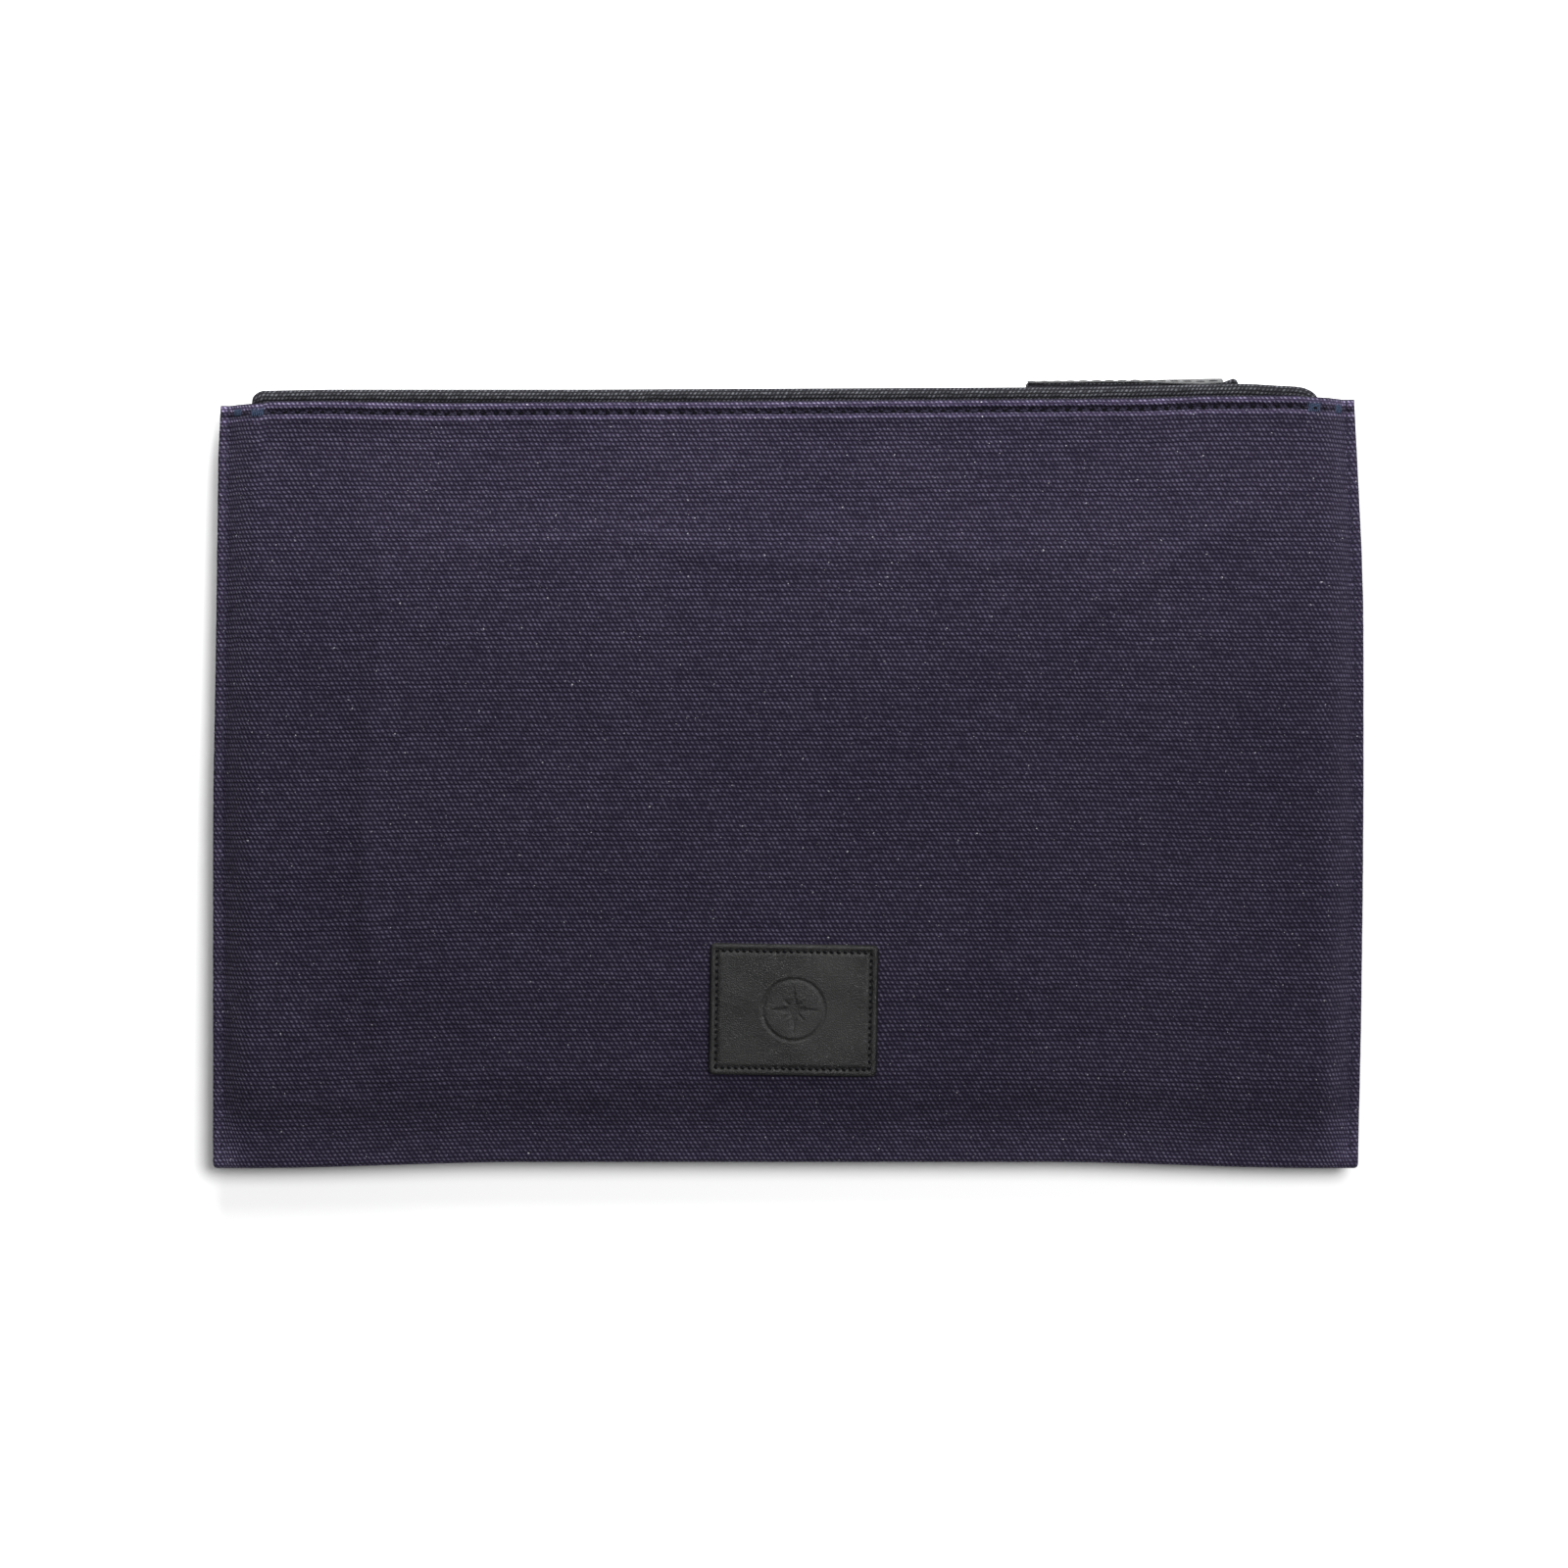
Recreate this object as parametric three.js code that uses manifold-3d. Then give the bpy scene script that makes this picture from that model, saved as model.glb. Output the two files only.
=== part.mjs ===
// Travel document organizer: a flat zipped canvas pouch, lying on its back.
// Units are millimetres. +X runs along the zip, +Y from the bottom fold to the zip, +Z up out of the front.
// Once the slider has run across, the canvas front lifts about the bottom fold and the mouth opens.
import * as THREE from 'three';
import Module from 'manifold-3d';
import { mergeVertices } from 'three/addons/utils/BufferGeometryUtils.js';

// ---- Driving dimensions ----

const POUCH_WIDTH = 240;
const POUCH_HEIGHT = 160;         // bottom fold to the hemmed top edge
const POUCH_THICKNESS = 12.8;
const TOP_NARROWING = 2;          // how much less the half width is at the mouth
const FOLD_RISE = 1.3;            // the bottom fold is drawn up between its corners

const CANVAS = 0.8;
const LINING = 0.35;
const GAP = 0.1;                  // between layers that lie on each other
const SPLIT_GAP = 0.3;            // round the part of the front that lifts

const SEAM_HEIGHT = 5.8;          // middle of the side seams above the table
const SEAM_THICKNESS = 3.4;       // four layers of canvas, pressed
const SEAM_WIDTH = 2.4;
const FOLD_DEPTH = 1.6;           // the bottom fold's own edge
const SIDE_ROLL = 7;              // distance over which the pouch swells from a side seam
const BOTTOM_ROLL = 16;

const HEM_DEPTH = 10;
const FLANGE_RISE = 2.6;          // black canvas roll that stands above the hem
const FLANGE_ROLL = 1.8;
const FLANGE_TAIL = 9;
const FLANGE_HALF_LENGTH = 108.5;
const FLANGE_END_ROUND = 4.5;

const ZIP_SPLIT = 90;             // the zip's front half lifts between -ZIP_SPLIT and +ZIP_SPLIT
const COIL_HALF_LENGTH = 106;
const COIL_MIDDLE_Y = 159.1;       // low enough for the flanges to hide the slider
const COIL_CHANNEL = 0.45;        // half of the channel that the slider's post runs in
const COIL_WIDTH = 1.75;          // one half, from the channel to the tape
const COIL_THICKNESS = 1.6;
const TAPE = 0.35;
const STOP_LENGTH = 2;

const SLIDER_X = 99.2;            // middle of the slider when the zip is closed
const SLIDER_LENGTH = 11;
const SLIDER_WIDTH = 6.4;
const WING = 0.7;
const WING_CLEARANCE = 0.3;       // between a wing and the coil
const WING_RIM = 0.7;
const BRIDGE_LENGTH = 5.8;
const BRIDGE_WIDTH = 2.2;
const BRIDGE_BAR = 0.6;
const BRIDGE_WINDOW = 1.7;

const LINK_WIRE = 1;
const LINK_THICKNESS = 0.9;
const LINK_REACH = 6.2;           // from the bridge's bar to the strap's bar
const LINK_HALF_WIDTH = 3.2;
const STRAP_LENGTH = 43.8;
const STRAP_WIDTH = 9;
const STRAP_CANVAS = 1.1;
const STRAP_LEATHER = 0.9;
const STRAP_LOOP = 1.4;

const PATCH_SIZE = [35, 27.5];
const PATCH_CENTRE = [1.1, 32.4]; // from the pouch's middle and its bottom fold
const PATCH_TURN = -0.9;          // degrees
const PATCH_CORNER = 1.2;
const PATCH_THICKNESS = 1.2;

const POCKET = 0.45;
const POCKET_BORDER = 3;          // sewn edge of a pocket
const POCKET_EASE = 0.5;          // how far a pocket's middle stands off its lining

// ---- Worked out from those ----

const HALF = POUCH_WIDTH / 2;
const ZIP_Z = POUCH_THICKNESS / 2;
const HEM = 2 * CANVAS;
const FLAT_FROM = FOLD_DEPTH + BOTTOM_ROLL;
const LINED = CANVAS + 1.5 * GAP + LINING;          // from an outer face to the lining's inner one
const FLANGE_TOP = POUCH_HEIGHT + FLANGE_RISE;
const WING_TOP = COIL_MIDDLE_Y + COIL_THICKNESS / 2 + WING_CLEARANCE + WING;
const LINK_Y = WING_TOP + GAP + BRIDGE_WINDOW / 2;
const BRIDGE_TOP = WING_TOP + GAP + BRIDGE_WINDOW + BRIDGE_BAR;
const STRAP_BOTTOM = FLANGE_TOP + 0.2;
const STRAP_TOP = STRAP_BOTTOM + STRAP_CANVAS + GAP + STRAP_LEATHER;
const OVERALL_HEIGHT = Math.max(BRIDGE_TOP, STRAP_TOP);

// ---- Materials ----

const finish = (color, roughness, metalness = 0) =>
  new THREE.MeshStandardMaterial({ color, roughness, metalness });
const navyCanvas = finish(0x3a3749, 0.95);
const blackCanvas = finish(0x2b2e30, 0.95);
const blackLeather = finish(0x2c2c2a, 0.5);
const liningCloth = finish(0x3d3f45, 0.8);
const zipTape = finish(0x222426, 0.9);
const nylonCoil = finish(0x1d1e20, 0.45);
const darkNickel = finish(0x6f7072, 0.3, 0.9);

// ---- Geometry helpers ----

const pouch = new THREE.Group();
pouch.position.y = -OVERALL_HEIGHT / 2;

function add(name, geometry, material) {
  const mesh = new THREE.Mesh(geometry, material);
  mesh.name = name;
  pouch.add(mesh);
  return mesh;
}

function closedGeometry(points, triangles) {
  const geometry = new THREE.BufferGeometry();
  geometry.setAttribute('position', new THREE.Float32BufferAttribute(points.flat(), 3));
  geometry.setIndex(triangles.flat());
  geometry.computeVertexNormals();
  return geometry;
}

// A closed sheet over a grid of stations, between two faces that give z.
function sheet(us, vs, upper, lower) {
  const columns = us.length;
  const rows = vs.length;
  const points = [];
  for (const face of [upper, lower]) {
    for (const v of vs) {
      for (const u of us) points.push([...onPouch(u, v), face(u, v)]);
    }
  }
  const top = (i, j) => j * columns + i;
  const under = (i, j) => (rows + j) * columns + i;
  const triangles = [];
  const quad = (a, b, c, d) => triangles.push([a, b, c], [a, c, d]);
  for (let j = 0; j + 1 < rows; j++) {
    for (let i = 0; i + 1 < columns; i++) {
      quad(top(i, j), top(i + 1, j), top(i + 1, j + 1), top(i, j + 1));
      quad(under(i, j), under(i, j + 1), under(i + 1, j + 1), under(i + 1, j));
    }
  }
  const [right, far] = [columns - 1, rows - 1];
  for (let i = 0; i < right; i++) {
    quad(under(i, 0), under(i + 1, 0), top(i + 1, 0), top(i, 0));
    quad(top(i, far), top(i + 1, far), under(i + 1, far), under(i, far));
  }
  for (let j = 0; j < far; j++) {
    quad(top(0, j), top(0, j + 1), under(0, j + 1), under(0, j));
    quad(under(right, j), under(right, j + 1), top(right, j + 1), top(right, j));
  }
  return closedGeometry(points, triangles);
}

// A closed bar along X. section(x) gives a ring of [y, z] corners, anticlockwise when seen from +X.
function bar(xs, section) {
  const rings = xs.map(section);
  const corners = rings[0].length;
  const points = rings.flatMap((ring, k) => ring.map(([y, z]) => [xs[k], y, z]));
  const triangles = [];
  for (let k = 0; k + 1 < xs.length; k++) {
    for (let i = 0; i < corners; i++) {
      const here = k * corners + i;
      const next = k * corners + ((i + 1) % corners);
      triangles.push([here, next, next + corners], [here, next + corners, here + corners]);
    }
  }
  const outline = rings[0].map(([y, z]) => new THREE.Vector2(y, z));
  const last = (xs.length - 1) * corners;
  for (const [a, b, c] of THREE.ShapeUtils.triangulateShape(outline, [])) {
    triangles.push([c, b, a], [last + a, last + b, last + c]);
  }
  return closedGeometry(points, triangles);
}

const box = (y0, y1, z0, z1) => [[y0, z0], [y1, z0], [y1, z1], [y0, z1]];

// Traces a rectangle with rounded corners, anticlockwise.
function rounded(path, x0, x1, y0, y1, r) {
  path.absarc(x1 - r, y0 + r, r, -Math.PI / 2, 0, false);
  path.absarc(x1 - r, y1 - r, r, 0, Math.PI / 2, false);
  path.absarc(x0 + r, y1 - r, r, Math.PI / 2, Math.PI, false);
  path.absarc(x0 + r, y0 + r, r, Math.PI, 1.5 * Math.PI, false);
  return path;
}

const extruded = (shape, depth, curveSegments = 4) =>
  new THREE.ExtrudeGeometry(shape, { depth, bevelEnabled: false, curveSegments });

// Extrudes a plan drawn in X and Z along Y, from y0 to y1. The plan is the same either way up.
const upright = (shape, y0, y1) => extruded(shape, y1 - y0).rotateX(-Math.PI / 2).translate(0, y0, 0);

const wasm = await Module();
wasm.setup();

function solid(geometry) {
  const bare = geometry.clone();
  bare.deleteAttribute('normal');
  bare.deleteAttribute('uv');
  const merged = mergeVertices(bare, 1e-4);
  const vertProperties = new Float32Array(merged.attributes.position.array);
  const triVerts = new Uint32Array(merged.index.array);
  return new wasm.Manifold(new wasm.Mesh({ numProp: 3, vertProperties, triVerts }));
}

function geometryOf(made) {
  const mesh = made.getMesh();
  const geometry = new THREE.BufferGeometry();
  geometry.setAttribute('position', new THREE.BufferAttribute(mesh.vertProperties, 3));
  geometry.setIndex(new THREE.BufferAttribute(mesh.triVerts, 1));
  geometry.computeVertexNormals();
  return geometry;
}

// ---- The pouch's swelling ----
// u is the distance from the middle and v from the bottom fold, before the outline is drawn in.

const clamp01 = (t) => Math.min(1, Math.max(0, t));
// A quarter sine: steep at a seam, level on the flat.
const roll = (distance, reach) => Math.sin((Math.PI / 2) * clamp01(distance / reach));

function onPouch(u, v) {
  const widestAt = 60;
  const narrowing = TOP_NARROWING * clamp01((v - widestAt) / (POUCH_HEIGHT - widestAt)) ** 2;
  const [levelFrom, risesFrom] = [65, 105];
  const t = clamp01((risesFrom - Math.abs(u)) / (risesFrom - levelFrom));
  const rise = FOLD_RISE * t * t * (3 - 2 * t);
  return [u * (1 - narrowing / HALF), v + rise * (1 - v / POUCH_HEIGHT)];
}

const swell = (u, v) => roll(HALF - SEAM_WIDTH - Math.abs(u), SIDE_ROLL) * roll(v - FOLD_DEPTH, BOTTOM_ROLL);
const seamTop = SEAM_HEIGHT + SEAM_THICKNESS / 2;
const seamBottom = SEAM_HEIGHT - SEAM_THICKNESS / 2;
const frontFace = (u, v) => seamTop + (POUCH_THICKNESS - seamTop) * swell(u, v);
const backFace = (u, v) => seamBottom * (1 - swell(u, v));

// Stations across the pouch between two sides at -side and +side, close together where it rolls over.
function acrossStations(side, steps = 4) {
  const flat = HALF - SEAM_WIDTH - SIDE_ROLL;
  const right = Array.from({ length: steps + 1 }, (_, i) => flat + ((side - flat) * i) / steps);
  return [...right.map((u) => -u).reverse(), 0, ...right];
}

function upStations(low, high, steps = 4) {
  const rolled = Array.from({ length: steps + 1 }, (_, i) => low + ((FLAT_FROM - low) * i) / steps);
  return [...rolled, high];
}

// ---- Canvas shell ----

const HEM_START = POUCH_HEIGHT - HEM_DEPTH;
const STEP = 0.05;                // width of the step from one layer of canvas to two
const layers = (v) => (v > HEM_START - STEP / 2 ? HEM : CANVAS);

// The back, with the sewn edges of the front and the bottom fold, and its hem turned in.
function makeBack() {
  const shoulder = HALF - SEAM_WIDTH;
  const us = acrossStations(shoulder);
  us.unshift(-HALF, -shoulder - STEP);
  us.push(shoulder + STEP, HALF);
  const vs = [0, FOLD_DEPTH - STEP, ...upStations(FOLD_DEPTH, HEM_START - STEP), HEM_START, POUCH_HEIGHT];
  const sewn = (u, v) => Math.abs(u) > shoulder + STEP / 2 || v < FOLD_DEPTH - STEP / 2;
  const inner = (u, v) => (sewn(u, v) ? frontFace(u, v) : backFace(u, v) + layers(v));
  add('back_panel', sheet(us, vs, inner, backFace), navyCanvas);
}

// The part of the front that lifts, with its hem turned in.
function makeFront() {
  const us = acrossStations(HALF - SEAM_WIDTH - SPLIT_GAP);
  const vs = [...upStations(FOLD_DEPTH + SPLIT_GAP, HEM_START - STEP), HEM_START, POUCH_HEIGHT];
  add('front_panel', sheet(us, vs, frontFace, (u, v) => frontFace(u, v) - layers(v)), navyCanvas);
}

// ---- Lining and pockets ----

function makeLinings() {
  const us = acrossStations(HALF - 7, 3);
  const vs = upStations(5, HEM_START - 0.5, 3);
  const skin = LINED - LINING;
  const front = (depth) => (u, v) => frontFace(u, v) - depth;
  const back = (depth) => (u, v) => backFace(u, v) + depth;
  add('front_lining', sheet(us, vs, front(skin), front(LINED)), liningCloth);
  add('back_lining', sheet(us, vs, back(LINED), back(skin)), liningCloth);
}

// A slip pocket, sewn down along both sides and the bottom. It stands off by POCKET_EASE inside its border.
function pocket(name, [u0, u1], [v0, v1], base, direction) {
  const middles = [u0 + 2 * POCKET_BORDER, u1 - 2 * POCKET_BORDER];
  const us = [u0, u0 + POCKET_BORDER, ...middles, u1 - POCKET_BORDER, u1];
  const vs = [v0, v0 + POCKET_BORDER, v0 + 2 * POCKET_BORDER, v1];
  const inward = (u, v) => Math.min(u - u0, u1 - u, v - v0);
  const near = (u, v) => base + direction * POCKET_EASE * clamp01(inward(u, v) / POCKET_BORDER - 1);
  const far = (u, v) => near(u, v) + direction * POCKET;
  const faces = direction > 0 ? [far, near] : [near, far];
  add(name, sheet(us, vs, ...faces), liningCloth);
}

function makePockets() {
  const bottom = FLAT_FROM + 1;
  const onBack = LINED + GAP;
  pocket('passport_pocket', [-103, -5], [bottom, 108], onBack, 1);
  const cardTops = [94, 80, 66];  // the slot nearest the lining stands highest
  cardTops.forEach((top, k) => {
    pocket(`card_slot_${k + 1}`, [5, 97], [bottom, top], onBack + k * (POCKET + GAP), 1);
  });
  pocket('boarding_pass_pocket', [-105, 105], [bottom, 92], POUCH_THICKNESS - LINED - GAP, -1);
}

// ---- Zip ----

const COIL_INNER = ZIP_Z + COIL_CHANNEL;
const COIL_OUTER = COIL_INNER + COIL_WIDTH;
const COIL_Y = [COIL_MIDDLE_Y - COIL_THICKNESS / 2, COIL_MIDDLE_Y + COIL_THICKNESS / 2];
const FLANGE_OUTER = POUCH_THICKNESS - HEM - GAP;
const FLANGE_INNER = FLANGE_OUTER - CANVAS;

// The back half of the zip is its front half mirrored in the zip's middle plane.
const mirrored = (ring) => ring.map(([y, z]) => [y, 2 * ZIP_Z - z]).reverse();

// The flange is a folded strip: a tail sewn behind the hem, and a fat roll that stands above it.
function flangeSection(x) {
  const foot = POUCH_HEIGHT + GAP;
  const tail = POUCH_HEIGHT - FLANGE_TAIL;
  const fromEnd = clamp01((FLANGE_HALF_LENGTH - Math.abs(x)) / FLANGE_END_ROUND);
  const rise = (FLANGE_TOP - foot) * (0.3 + 0.7 * Math.sqrt(1 - (1 - fromEnd) ** 2));
  const radius = FLANGE_ROLL / 2;
  const crown = Math.min(radius, 0.9 * rise);
  const top = [0, 0.25, 0.5, 0.75, 1].map((t) => [
    foot + rise - crown + crown * Math.sin(Math.PI * t),
    FLANGE_INNER + radius - radius * Math.cos(Math.PI * t),
  ]);
  const outer = FLANGE_INNER + FLANGE_ROLL;
  return [[tail, FLANGE_INNER], ...top, [foot, outer], [foot, FLANGE_OUTER], [tail, FLANGE_OUTER]];
}

// The tape turns down from the coil and runs behind the flange.
function tapeSection() {
  const [under, over] = [COIL_MIDDLE_Y - TAPE / 2, COIL_MIDDLE_Y + TAPE / 2];
  const leg = FLANGE_INNER - GAP;
  return [
    [HEM_START, leg - TAPE], [under, leg - TAPE], [under, COIL_OUTER + GAP],
    [over, COIL_OUTER + GAP], [over, leg], [HEM_START, leg],
  ];
}

const coilSection = () => box(...COIL_Y, COIL_INNER, COIL_OUTER);

// Stations along a run of the zip, with more of them where it reaches a rounded end of the flange.
function runStations(x0, x1, endRound) {
  const rounding = [0, 0.1, 0.3, 0.6, 1].map((t) => endRound * t);
  const left = x0 === -FLANGE_HALF_LENGTH ? rounding.map((d) => x0 + d) : [x0];
  const right = x1 === FLANGE_HALF_LENGTH ? rounding.map((d) => x1 - d).reverse() : [x1];
  return [...left, ...right];
}

// One strip of the zip on both sides. The ends of its front half stay sewn to the pouch.
function zipStrip(name, section, reach, material, endRound = 0) {
  const lifts = ZIP_SPLIT - SPLIT_GAP;
  const run = (label, x0, x1, turn) => {
    const xs = endRound ? runStations(x0, x1, endRound) : [x0, x1];
    add(label, bar(xs, (x) => turn(section(x))), material);
  };
  const same = (ring) => ring;
  run(`back_${name}`, -reach, reach, mirrored);
  run(`front_${name}`, -lifts, lifts, same);
  run(`front_${name}_left_end`, -reach, -ZIP_SPLIT, same);
  run(`front_${name}_right_end`, ZIP_SPLIT, reach, same);
}

function makeZip() {
  zipStrip('zip_flange', flangeSection, FLANGE_HALF_LENGTH, blackCanvas, FLANGE_END_ROUND);
  zipStrip('zip_tape', tapeSection, FLANGE_HALF_LENGTH, zipTape);
  zipStrip('zip_coil', coilSection, COIL_HALF_LENGTH, nylonCoil);
  const stop = COIL_HALF_LENGTH + 2 * GAP;
  const topStop = [stop, stop + STOP_LENGTH];
  add('front_top_stop', bar(topStop, coilSection), darkNickel);
  add('back_top_stop', bar(topStop, () => mirrored(coilSection())), darkNickel);
  const bottomStop = [-stop - STOP_LENGTH, -stop];
  add('bottom_stop', bar(bottomStop, () => box(...COIL_Y, 2 * ZIP_Z - COIL_OUTER, COIL_OUTER)), darkNickel);
}

// ---- Slider ----

// The slider's plan along the zip: wide at the nose, drawn in at the tail.
function sliderPlan() {
  const half = SLIDER_LENGTH / 2;
  const nose = SLIDER_WIDTH / 2;
  const tail = nose - 0.7;
  return new THREE.Shape([
    [-half, -tail + 0.6], [-half + 0.6, -tail], [half - 2.4, -nose], [half, -nose + 1.3],
    [half, nose - 1.3], [half - 2.4, nose], [-half + 0.6, tail], [-half, tail - 0.6],
  ].map(([x, z]) => new THREE.Vector2(x, z)));
}

// Two wings above and below the coil, joined by the post between its halves.
function makeSliderBody() {
  const gap = COIL_THICKNESS / 2 + WING_CLEARANCE;
  const channel = SLIDER_WIDTH / 2 - WING_RIM;
  const place = (geometry) => solid(geometry.translate(SLIDER_X, COIL_MIDDLE_Y, ZIP_Z));
  const hollow = place(new THREE.BoxGeometry(2 * SLIDER_LENGTH, 2 * gap, 2 * channel));
  const tapeSlot = place(new THREE.BoxGeometry(2 * SLIDER_LENGTH, 2 * TAPE + 0.5, SLIDER_WIDTH + 1));
  const whole = place(upright(sliderPlan(), -gap - WING, gap + WING));
  const post = place(new THREE.BoxGeometry(2.4, 2 * gap + WING, 0.6).translate(2.9, 0, 0));
  const body = whole.subtract(hollow).subtract(tapeSlot).add(post);
  add('slider_body', geometryOf(body), darkNickel);
}

function makeSliderBridge() {
  const half = BRIDGE_LENGTH / 2;
  const leg = 0.8;
  const top = BRIDGE_WINDOW + BRIDGE_BAR;
  const outline = [
    [half, 0], [half, top - 0.8], [half - 0.8, top], [-half + 0.8, top], [-half, top - 0.8], [-half, 0],
    [-half + leg, 0], [-half + leg, BRIDGE_WINDOW], [half - leg, BRIDGE_WINDOW], [half - leg, 0],
  ];
  const arch = new THREE.Shape(outline.map(([x, y]) => new THREE.Vector2(x, y)));
  const geometry = extruded(arch, BRIDGE_WIDTH);
  geometry.translate(SLIDER_X, WING_TOP + GAP, ZIP_Z - BRIDGE_WIDTH / 2);
  add('slider_bridge', geometry, darkNickel);
}

// ---- Pull ----

const LINK_BAR_X = SLIDER_X - 0.8;
const STRAP_BAR_X = LINK_BAR_X - LINK_REACH;
const STRAP_END_X = STRAP_BAR_X + STRAP_LOOP - STRAP_LENGTH;

function makeLink() {
  const wire = LINK_WIRE / 2;
  const reach = LINK_HALF_WIDTH;
  const [x0, x1] = [STRAP_BAR_X, LINK_BAR_X];
  const loop = rounded(new THREE.Shape(), x0 - wire, x1 + wire, -reach - wire, reach + wire, 1);
  const eye = rounded(new THREE.Path(), x0 + wire, x1 - wire, -reach + wire, reach - wire, 0.5);
  loop.holes.push(eye);
  const geometry = upright(loop, LINK_Y - LINK_THICKNESS / 2, LINK_Y + LINK_THICKNESS / 2);
  add('pull_link', geometry.translate(0, 0, ZIP_Z), darkNickel);
}

// A canvas strap that ends in a loop round the link's bar. The loop is drawn out upwards, because the strap
// lies on top of the flanges and the bar is down between them.
function makeStrap() {
  const eyeRadius = STRAP_LOOP - 0.6;
  const bottom = STRAP_BOTTOM - LINK_Y;
  const top = bottom + STRAP_CANVAS;
  const side = new THREE.Shape();
  side.moveTo(STRAP_END_X - STRAP_BAR_X, bottom);
  side.absarc(0, 0, STRAP_LOOP, -Math.PI - Math.asin(bottom / STRAP_LOOP), 0, false);
  side.absarc(0, top - STRAP_LOOP, STRAP_LOOP, 0, Math.PI / 2, false);
  side.lineTo(STRAP_END_X - STRAP_BAR_X, top);
  const eye = new THREE.Path();
  eye.absarc(0, 0, eyeRadius, 0, 2 * Math.PI, false);
  side.holes.push(eye);
  const width = 2 * LINK_HALF_WIDTH - LINK_WIRE - 0.8;
  const geometry = extruded(side, width, 12);
  add('strap_canvas', geometry.translate(STRAP_BAR_X, LINK_Y, ZIP_Z - width / 2), blackCanvas);

  const [z0, z1] = [ZIP_Z - STRAP_WIDTH / 2, ZIP_Z + STRAP_WIDTH / 2];
  const leatherEnd = STRAP_BAR_X - STRAP_LOOP - 0.4;
  const section = () => box(STRAP_TOP - STRAP_LEATHER, STRAP_TOP, z0, z1);
  add('strap_leather', bar([STRAP_END_X, leatherEnd], section), blackLeather);
}

// ---- Patch ----

function makePatch() {
  const [halfWidth, halfHeight] = PATCH_SIZE.map((size) => size / 2);
  const outline = rounded(new THREE.Shape(), -halfWidth, halfWidth, -halfHeight, halfHeight, PATCH_CORNER);
  const patch = add('leather_patch', extruded(outline, PATCH_THICKNESS), blackLeather);
  patch.position.set(...PATCH_CENTRE, POUCH_THICKNESS + GAP);
  patch.rotation.z = THREE.MathUtils.degToRad(PATCH_TURN);
}

makeBack();
makeFront();
makeLinings();
makePockets();
makeZip();
makeSliderBody();
makeSliderBridge();
makeLink();
makeStrap();
makePatch();

export default pouch;
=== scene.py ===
# %% [markdown]
# # A travel document organizer
# A flat zipped pouch in navy canvas lies on its back. Its front lifts at the mouth once the zip is open.
# The CAD model gives every size and every moving body. This script adds the cloth, leather and thread.
# We work in millimetres from the bottom fold, because a maker would, and turn to metres only in `place`.

# %% Load the frame
import math
from functools import partial

import bmesh
import bpy
import numpy as np
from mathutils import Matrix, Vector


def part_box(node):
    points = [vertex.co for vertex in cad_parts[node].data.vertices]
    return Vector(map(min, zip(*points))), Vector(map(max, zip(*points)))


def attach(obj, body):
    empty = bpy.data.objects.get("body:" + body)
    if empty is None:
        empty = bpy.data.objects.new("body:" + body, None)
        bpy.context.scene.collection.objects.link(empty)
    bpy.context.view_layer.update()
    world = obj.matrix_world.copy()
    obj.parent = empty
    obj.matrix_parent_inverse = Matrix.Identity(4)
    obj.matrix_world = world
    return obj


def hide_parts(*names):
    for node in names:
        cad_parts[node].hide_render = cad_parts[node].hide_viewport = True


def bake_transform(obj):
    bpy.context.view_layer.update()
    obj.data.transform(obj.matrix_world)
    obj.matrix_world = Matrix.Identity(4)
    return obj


MM = 0.001
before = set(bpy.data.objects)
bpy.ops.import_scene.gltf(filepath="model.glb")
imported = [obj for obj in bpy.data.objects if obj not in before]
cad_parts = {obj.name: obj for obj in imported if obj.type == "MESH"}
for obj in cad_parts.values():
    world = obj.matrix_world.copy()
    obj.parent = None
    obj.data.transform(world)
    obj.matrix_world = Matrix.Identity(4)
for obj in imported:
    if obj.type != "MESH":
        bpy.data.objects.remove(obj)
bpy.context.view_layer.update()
back_low, back_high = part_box("back_panel")
front_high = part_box("front_panel")[1]
ORIGIN_Y = back_low.y / MM
HALF = (back_high.x - back_low.x) / 2 / MM
HEIGHT = (back_high.y - back_low.y) / MM
THICKNESS = front_high.z / MM
ZIP_Z = THICKNESS / 2
print(f"pouch: {2 * HALF:.1f} x {HEIGHT:.1f} x {THICKNESS:.1f} mm")

# %% [markdown]
# ## Camera, floor and light
# The pouch is seen from straight above, so a long lens keeps its sides from leaning. The camera stands
# where the whole frame is 327 mm wide at the seams. One large soft lamp, a little to the upper right, gives
# the short shadows at the left and below. A low one beyond the mouth grazes the weave and the zip's rolls.

# %% Camera
VIEW_WIDTH = 0.3274
LENS = 100
SENSOR = 36
CAMERA_X, CAMERA_Y = -0.9, 80.2
SEAM_Z = 5.8
camera_data = bpy.data.cameras.new("camera")
camera_data.lens = LENS
camera_data.sensor_width = SENSOR


def added(name, data):
    """A new object in the scene, at the origin."""
    made = bpy.data.objects.new(name, data)
    bpy.context.scene.collection.objects.link(made)
    return made


camera = added("camera", camera_data)
camera.location = (CAMERA_X * MM, (CAMERA_Y + ORIGIN_Y) * MM, VIEW_WIDTH * LENS / SENSOR + SEAM_Z * MM)
bpy.context.scene.camera = camera


# %% Lamps and floor
def lamp(name, place, size, watts):
    data = bpy.data.lights.new(name, "AREA")
    data.shape = "DISK"
    data.size = size
    data.energy = watts
    made = added(name, data)
    made.location = place
    aim = -made.location.normalized()
    made.rotation_euler = aim.to_track_quat("-Z", "Y").to_euler()


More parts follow.
